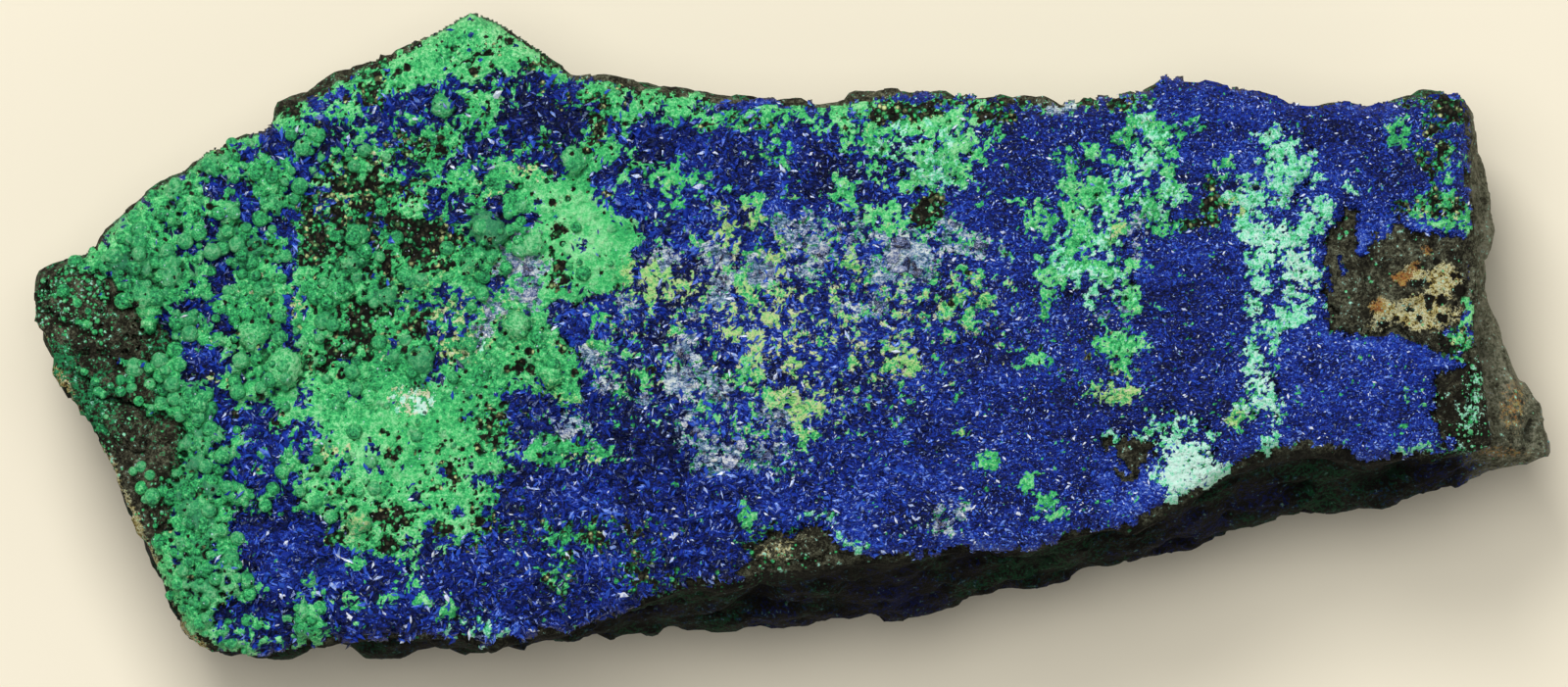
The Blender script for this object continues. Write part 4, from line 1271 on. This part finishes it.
def crust_material(name):
    """Malachite, azurite and what lies among them, told apart by the crust's own fields."""
    shader = Shader(name, 0.5, 0.18)
    fine = shader.noise(3.4, 4.0, 0.65)
    grit = shader.noise(8.0, 3.0, 0.7)
    broad = shader.noise(0.55, 4.0, 0.6)
    streak = shader.noise(5.0, 4.0, 0.7, (0.4, 1.0, 1.0))
    vein = shader.noise(1.6, 5.0, 0.75, (0.5, 1.0, 1.0))
    distance, own = shader.beads(3.2)
    other_distance, other = shader.beads(2.1)
    glint, glint_number = shader.beads(5.0)
    dome = shader.between(distance, 0.2, 0.8, 1.0, 0.0)
    ragged = shader.total((fine, 0.9), (grit, 0.6), (own, 0.35), middle=0.5)

    def part(title, grain=1.0):
        """Where this kind shows, its edge broken up by the ragged noise."""
        share = shader.field(title)
        return shader.times(shader.inside(share, (ragged, grain)),
                            shader.between(share, 0.04, 0.22))

    texture = shader.total((fine, 1.8), (grit, 1.3), (own, 0.08), middle=0.5)
    texture = shader.times(texture, shader.total((shader.field("calm"), -0.5), plus=1.0))
    shade = shader.total((texture, 1), (broad, 0.9), (shader.field("green_tone"), 1),
                         (dome, 0.10), plus=0.03)
    tint = shader.total((shader.field("yellow"), 1), (fine, 1.8), (grit, 1.2), middle=0.5,
                        plus=0.5)
    green = shader.mix(shader.between(tint, 0.35, 0.75, 0.0, 0.9), shader.ramp(shade, GREENS),
                       shader.ramp(shade, WARM_GREENS))
    green = shader.mix(shader.field("teal"), green, TEAL)
    depth = shader.total((streak, 1.9), (grit, 1.8), (broad, 0.8), middle=0.5)
    depth = shader.total((depth, 1), (shader.field("blue_tone"), 1), plus=0.36)
    colour = shader.mix(part("azurite"), green, shader.ramp(depth, BLUES))
    powder = shader.total((fine, 1.8), (own, 0.35), (grit, 1.6), middle=0.5, plus=0.5)
    powder = shader.total((powder, 1), (shader.field("white"), 0.42))
    mint, dark = part("mint", 1.3), part("dark")
    colour = shader.mix(mint, colour, shader.ramp(powder, MINTS))
    colour = shader.mix(part("cream", 2.2), colour, shader.ramp(powder, CREAMS))
    frost = shader.total((vein, 3.2), (streak, 1.6), (grit, 1.6), middle=0.5, plus=0.60)
    colour = shader.mix(shader.times(part("pale", 2.4), 0.9), colour, shader.ramp(frost, SMOKES))
    for place, number, reach in ((distance, own, 0.52), (other_distance, other, 0.42)):
        bent = shader.total((place, 1), (fine, 1.4), middle=0.5, plus=0.5)
        speck = shader.dot((shader.field("speck"), 0.38), number, bent, reach, 0.08)
        colour = shader.mix(speck, colour, BLACK_BROWN)
    pepper = shader.shaded(shader.ramp(own, PEPPERS),
                           shader.between(distance, 0.25, 0.7, 1.2, 0.15))
    colour = shader.mix(dark, colour, pepper)
    colour = shader.shaded(colour, shader.between(shader.field("hollow"), 0.1, 1.2, 1.0, 0.2))
    spark = shader.times(shader.between(glint_number, 0.955, 0.96),
                         shader.between(glint, 0.3, 0.45, 0.7, 0.0))
    shader.colour(shader.mix(spark, colour, ICE))
    rougher = shader.total((part("mint"), 1), (dark, 1))
    shader.give(shader.surface.inputs["Roughness"], shader.between(rougher, 0, 1, 0.45, 0.8))
    shader.bump(shader.total((fine, 0.9), (grit, 0.8), (dome, 0.35)), 0.17)
    return shader.material


def blade_material():
    """Glassy azurite: each blade has its own shade, from near black to powder blue."""
    shader = Shader("azurite_blades", 0.24, 0.5, 1.6)
    shader.surface.inputs["Specular Tint"].default_value = (0.5, 0.66, 1.0, 1)
    cloud = shader.total((shader.noise(2.5), 0.35), (shader.noise(9.0), 0.3), middle=0.5)
    shade = shader.total((shader.field("shade"), 1), (cloud, 1))
    shader.colour(shader.ramp(shade, BLADE_BLUES))
    shader.bump(shader.noise(9.0, 2.0), 0.02)
    return shader.material


def rock_material():
    """Grey-brown rock with the stains, powders and beads that the fields place on it."""
    shader = Shader("matrix_rock", 0.85, 0.15)
    fine = shader.noise(4.0, 4.0, 0.65)
    broad = shader.noise(0.45, 5.0, 0.65)
    mottle = shader.noise(1.5, 4.0, 0.7)
    grit = shader.noise(9.0, 2.0)
    distance, own = shader.beads(4.2)
    far, other = shader.beads(2.2)
    shade = shader.total((fine, 1.4), (broad, 1.1), (grit, 0.8), (mottle, 1.6), middle=0.5,
                         plus=0.36)
    shade = shader.total((shade, 1), (shader.field("pale"), 1))
    ragged = shader.total((fine, 1.2), (mottle, 0.8), (own, 0.25), middle=0.5)
    patchy = shader.total((mottle, 2.4), (own, 0.3), (grit, 1.4), middle=0.5, plus=0.5)
    colour = shader.ramp(shade, ROCKS)
    for title, grain, new in (("ochre", 1.0, shader.ramp(patchy, OCHRES)),
                              ("rust", 1.0, shader.ramp(patchy, RUSTS)),
                              ("green", 1.8, shader.ramp(fine, GREEN_STAIN)),
                              ("blue", 1.8, shader.ramp(fine, BLUE_STAIN)),
                              ("pit", 1.0, BLACK_BROWN),
                              ("lace", 1.8, shader.ramp(patchy, LACE))):
        colour = shader.mix(shader.inside(shader.field(title), (ragged, grain)), colour, new)
    for place, number, reach in ((distance, own, 0.48), (far, other, 0.40)):
        bead = shader.dot((shader.field("bead"), 0.6), number, place, reach, 0.06)
        colour = shader.mix(bead, colour, shader.ramp(fine, BEAD_GREENS))
    colour = shader.shaded(colour, shader.between(shader.field("shaded"), 0, 1, 1.0, 0.15))
    colour = shader.shaded(colour, shader.between(shader.field("hollow"), 0.05, 1.0, 1.0, 0.4))
    shader.colour(colour)
    shader.bump(shader.total((fine, 1), (grit, 0.7), (mottle, 0.8)), 0.26)
    return shader.material


def flake_material():
    """Clear to milky platy crystals."""
    shader = Shader("clear_flakes", 0.25, 0.5, 1.55)
    milk = shader.total((shader.noise(2.2, 5.0, 0.7, (0.5, 1.0, 1.0)), 2.4),
                        (shader.noise(9.0, 3.0, 0.7), 1.6), (shader.field("tone"), 0.6),
                        middle=0.5, plus=0.44)
    shader.colour(shader.ramp(milk, FLAKE_SMOKES))
    shader.surface.inputs["Transmission Weight"].default_value = 0.35
    shader.bump(shader.noise(6.0, 3.0), 0.08)
    return shader.material


# ---------------------------------------------------------------- the rock

ROCK_VOXEL = 0.43  # width of the rock's faces
BENCH_X = 47.5  # where the stepped east end begins
MOST_IN, MOST_OUT = 0.7, 0.45  # how far the rock's breaks move its surface
PATCH_DROP = 0.75  # how far the slab is sunk under its bare patches, which have finer grids
BARE_HEIGHT = SEAT_HEIGHT + 0.7  # least height of the bare rock among the crusts
BARE_EDGE = 0.6  # over which a bare patch rises, inwards from its edge
TAN_WIDTH = 0.6  # of the tan line along the west rim


def body_mesh():
    """The CAD slab's points and triangles, evenly remeshed."""
    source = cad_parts["matrix"].data.copy()
    body = bpy.data.objects.new("body", source)
    bpy.context.scene.collection.objects.link(body)
    remesh = body.modifiers.new("even", "REMESH")
    remesh.mode = "VOXEL"
    remesh.voxel_size = ROCK_VOXEL * MM
    bpy.context.view_layer.update()
    mesh = body.evaluated_get(bpy.context.evaluated_depsgraph_get()).to_mesh()
    points = np.empty(len(mesh.vertices) * 3, np.float32)
    mesh.vertices.foreach_get("co", points)
    normals = np.empty(len(mesh.vertices) * 3, np.float32)
    mesh.vertices.foreach_get("normal", normals)
    faces = np.empty(len(mesh.polygons) * 4, np.int32)
    mesh.polygons.foreach_get("vertices", faces)
    bpy.data.objects.remove(body)
    bpy.data.meshes.remove(source)
    points = points.reshape(-1, 3) / MM + (*DRAWN_CENTRE, 0)
    return points.astype(float), normals.reshape(-1, 3).astype(float), faces.reshape(-1, 4)


def box_map(points, faces):
    """Six flat views of the slab side by side: each face lies in the one that it faces."""
    corners = points[faces]
    normal = np.cross(corners[:, 2] - corners[:, 0], corners[:, 3] - corners[:, 1])
    axis = np.abs(normal * (1, 1, 0.8)).argmax(1)
    positive = normal[np.arange(len(axis)), axis] > 0
    low = points.min(0)
    span = points.max(0) - low
    share = (corners - low) / span
    views = {(2, True): (0, 1, 0.0, 0.66, 1.0, 0.33), (2, False): (0, 1, 0.0, 0.33, 1.0, 0.32),
             (1, False): (0, 2, 0.0, 0.165, 0.8, 0.16), (1, True): (0, 2, 0.0, 0.0, 0.8, 0.16),
             (0, False): (1, 2, 0.81, 0.165, 0.18, 0.16), (0, True): (1, 2, 0.81, 0.0, 0.18, 0.16)}
    uv = np.zeros((len(faces), 4, 2))
    for (way, side), (first, second, left, bottom, wide, tall) in views.items():
        here = (axis == way) & (positive == side)
        uv[here, :, 0] = left + wide * share[here][:, :, first]
        uv[here, :, 1] = bottom + tall * share[here][:, :, second]
    return uv.reshape(-1, 2)


def eased(faces, values, turns):
    """Values at a mesh's points, each drawn halfway to the mean of its neighbours' in turns."""
    starts = faces.ravel()
    ends = np.roll(faces, -1, axis=1).ravel()
    count = np.bincount(starts, minlength=len(values)) + np.bincount(ends, minlength=len(values))
    for _ in range(turns):
        total = (np.bincount(starts, values[ends], len(values))
                 + np.bincount(ends, values[starts], len(values)))
        values = 0.5 * values + 0.5 * total / np.maximum(count, 1)
    return values


def rock_fields(points, hollow, spots):
    """The fields that the rock's material reads."""
    x, y, z = points.T
    south = np.clip(-y / 8 - 0.2, 0, 1)
    side = rising(z, SEAT_HEIGHT - 0.6, -1.2)
    stain = rough(x, y, 5.0, 401, 4, 0.6, z)
    bench = rising(x, BENCH_X, 1.5)
    top = 1 - side
    south_rim = rising(z, SEAT_HEIGHT - 0.05, -0.3) * rising(y, 0, -4)
    blue_rim = rising(x, 24, 1.5) * rising(y, 12, 1) * rising(z, SEAT_HEIGHT - 3.5, 1.5)
    west_rim = (at(spots["edge"], x, y) * rising(x, -40, -2) * rising(y, 3, -3)
                * rising(z, 15.5, 2.5))
    grey_strip = rising(x, 44, 2) * rising(y, -1.5, -1)
    dark_west = rising(x, -38, -6) * rising(y, -6, 3)
    return {
        "ochre": top * at(spots["ochre"], x, y) + 0.12 * bench * side + 0.5 * west_rim,
        "rust": at(spots["rust"], x, y) + 0.10 * bench * side,
        "bead": top * at(spots["bead"], x, y),
        "lace": top * at(spots["lace"], x, y),
        "pit": top * at(spots["pit"], x, y),
        "green": (side * (0.28 + 0.10 * south + 0.30 * stain) * (1 - bench)
                  + top * np.clip((-40 - x) / 8, 0, 0.38) * (0.6 + stain)),
        "blue": (side * south * (0.22 - 0.35 * stain) * (1 - 0.5 * bench)
                 + 0.75 * blue_rim * (1 - bench)),
        "pale": (0.34 * bench * side + 0.10 * side * (1 - south)
                 + top * (0.10 - 0.22 * grey_strip - 0.08 * dark_west)),
        "shaded": (np.maximum(side * (0.34 + 0.66 * south), south_rim) * (1 - bench)
                   * (1 - 0.8 * west_rim)),
        "hollow": hollow,
    }


def bare_surface(rock, bare):
    """Height of the rock that lies bare on the upper face, and of its edges' foot."""
    base = blurred(np.maximum(rock, BARE_HEIGHT), 0.5)
    floor = seat(GRID_X, GRID_Y) - 0.7
    facet = 0.28 * tilted(2.4, 443) + 0.12 * tilted(0.8, 449)
    stained = np.clip(2.5 * spread(BEADED_ROCK, 0.3), 0, 1)
    height = base + facet + 0.14 * rough(GRID_X, GRID_Y, 0.7, 461, 4, 0.7)
    height += 0.10 * grains(0.4, 457) * stained
    return floor + (height - floor) * (0.8 + 0.2 * depth_inside(bare, BARE_EDGE)), floor


def broken(points, normals, faces):
    """How far each point of the slab moves in or out to look broken."""
    x, y, z = points.T
    ledge = fractured(x, y, z * 1.8, 3.4, 431)
    chip = fractured(x, y, z * 1.3, 1.35, 433)
    bench = rising(x, BENCH_X, 1.5)
    push = eased(faces, (0.50 * ledge + 0.24 * chip) * (1 - 0.35 * bench), 2)
    push = np.clip(push + 0.10 * rough(x, y, 1.1, 439, 3, 0.8, z), -MOST_IN, MOST_OUT)
    off_ground = np.clip(z / 2.2, 0, 1) ** 0.7
    push *= off_ground * (1 - 0.8 * upward(z, normals))
    under_rim = rising(z, SEAT_HEIGHT - 2.6, 1.5) * (1 - bench)
    return np.where(push < 0, push * (1 - 0.8 * under_rim), push)


def upward(z, normals):
    """1 on the slab's upper face, 0 on its sides."""
    return rising(z, SEAT_HEIGHT - 0.9, 0.6) * np.clip(normals[:, 2] * 2, 0, 1)


def make_rock(bare, raised, bare_height, bare_floor, spots):
    """The broken slab, and finer patches where it lies bare among the crusts."""
    points, normals, faces = body_mesh()
    push = broken(points, normals, faces)
    on_top = upward(points[:, 2], normals)
    points += normals * push[:, None]
    sunk = at(blurred(bare | raised, 0.2), *points.T[:2]) * on_top
    points[:, 2] = np.maximum(points[:, 2] - PATCH_DROP * sunk, 0)
    fields = rock_fields(points, np.clip(-push / 0.5, -0.5, 1), spots)
    patch_points, patch_faces, _ = sheet_of(bare, bare_height, bare_floor, {})
    dip = np.clip((blurred(bare_height, 0.4) - bare_height) / 0.2, -0.5, 1)
    patch_fields = rock_fields(patch_points, at(dip, *patch_points.T[:2]), spots)
    every = np.concatenate([points, patch_points])
    every_face = np.concatenate([faces, patch_faces + len(points)])
    for title in fields:
        fields[title] = np.concatenate([fields[title], patch_fields[title]])
    piece = made_object("matrix_rock_body", every, every_face, True, rock_material(), fields,
                        box_map(every, every_face))
    set_on(piece, "matrix")


# ---------------------------------------------------------------- the stage

FRAME_WIDTH = 112.0  # millimetres of the upper face from one side of the picture to the other
LENS = 600.0
SENSOR = 36.0
FACE_LEVEL = 19.5  # height of the crusts that the camera is set for
VIEW_CENTRE = (-0.525, -0.49)  # drawn place in the middle of the picture
FLOOR_REACH = 4.0  # metres
PAPER = (0.86, 0.80, 0.66)
WARM_LIGHT, COOL_LIGHT, ROOM_LIGHT = (1.0, 0.985, 0.95), (0.95, 0.97, 1.0), (1.0, 0.98, 0.94)


def make_stage():
    """A cream paper floor that only stages the picture."""
    paper = bpy.data.materials.new("paper")
    paper.use_nodes = True
    surface = paper.node_tree.nodes["Principled BSDF"]
    surface.inputs["Base Color"].default_value = (*PAPER, 1)
    surface.inputs["Roughness"].default_value = 0.95
    surface.inputs["Specular IOR Level"].default_value = 0.1
    mesh = bpy.data.meshes.new("floor")
    ways = (-1, -1), (1, -1), (1, 1), (-1, 1)
    mesh.from_pydata([(x * FLOOR_REACH, y * FLOOR_REACH, 0) for x, y in ways], [], [range(4)])
    mesh.materials.append(paper)
    plane = bpy.data.objects.new("floor", mesh)
    bpy.context.scene.collection.objects.link(plane)
    plane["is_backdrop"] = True


def add_light(name, place, size, watts, colour):
    """A round soft light, aimed at the origin. Places and sizes are metres."""
    data = bpy.data.lights.new(name, "AREA")
    data.shape = "DISK"
    data.size = size
    data.energy = watts
    data.color = colour
    lamp = bpy.data.objects.new(name, data)
    lamp.location = place
    lamp.rotation_euler = (-Vector(place)).to_track_quat("-Z", "Y").to_euler()
    bpy.context.scene.collection.objects.link(lamp)


def make_lights():
    """A soft key and overhead light, a weak fill and a pale room."""
    add_light("key", (-0.22, 0.60, 0.85), 0.40, 6.0, WARM_LIGHT)
    add_light("overhead", (-0.10, 0.18, 1.10), 0.7, 6.5, WARM_LIGHT)
    add_light("fill", (0.9, -0.6, 0.9), 1.0, 1.2, COOL_LIGHT)
    world = bpy.data.worlds.new("studio")
    world.use_nodes = True
    background = world.node_tree.nodes["Background"]
    background.inputs["Color"].default_value = (*ROOM_LIGHT, 1)
    background.inputs["Strength"].default_value = 0.2
    bpy.context.scene.world = world
    bpy.context.scene.view_settings.view_transform = "Standard"


def make_camera():
    """A long lens straight above the crusts, as in the photograph."""
    data = bpy.data.cameras.new("camera")
    data.lens = LENS
    data.sensor_width = SENSOR
    camera = bpy.data.objects.new("camera", data)
    distance = FRAME_WIDTH * LENS / SENSOR
    x, y = (place - shift for place, shift in zip(VIEW_CENTRE, DRAWN_CENTRE))
    camera.location = (x * MM, y * MM, (FACE_LEVEL + distance) * MM)
    data.clip_start = 0.05
    data.clip_end = 20.0
    bpy.context.scene.collection.objects.link(camera)
    bpy.context.scene.camera = camera


def main():
    """Builds every piece, then the stage, the lights and the camera."""
    region, top, rock, bare = crust_regions()
    spots = {title: spread(places, 0.25)
             for title, places in (("ochre", OCHRE_SPOTS), ("rust", RUST_SPOTS),
                                   ("bead", BEADED_ROCK), ("lace", LACE_SPOTS))}
    spots["pit"] = share_of(DARK_PITS)
    spots["edge"] = 1 - depth_inside(rock > 0, TAN_WIDTH)
    kind = covering(region)
    height, fields = crust_fields(kind, region, top, rock)
    bare_height, bare_floor = bare_surface(rock, bare)
    make_rock(bare, rock > SEAT_HEIGHT + 0.6, bare_height, bare_floor, spots)
    make_crusts(region, height, rock, fields)
    make_blades(region, height, fields)
    make_beads(kind, height, fields, bare_height, bare)
    make_flakes(height)
    make_stage()
    make_lights()
    make_camera()
    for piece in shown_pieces():
        print(piece.name, sum(len(face.vertices) - 2 for face in piece.data.polygons), "triangles")


main()
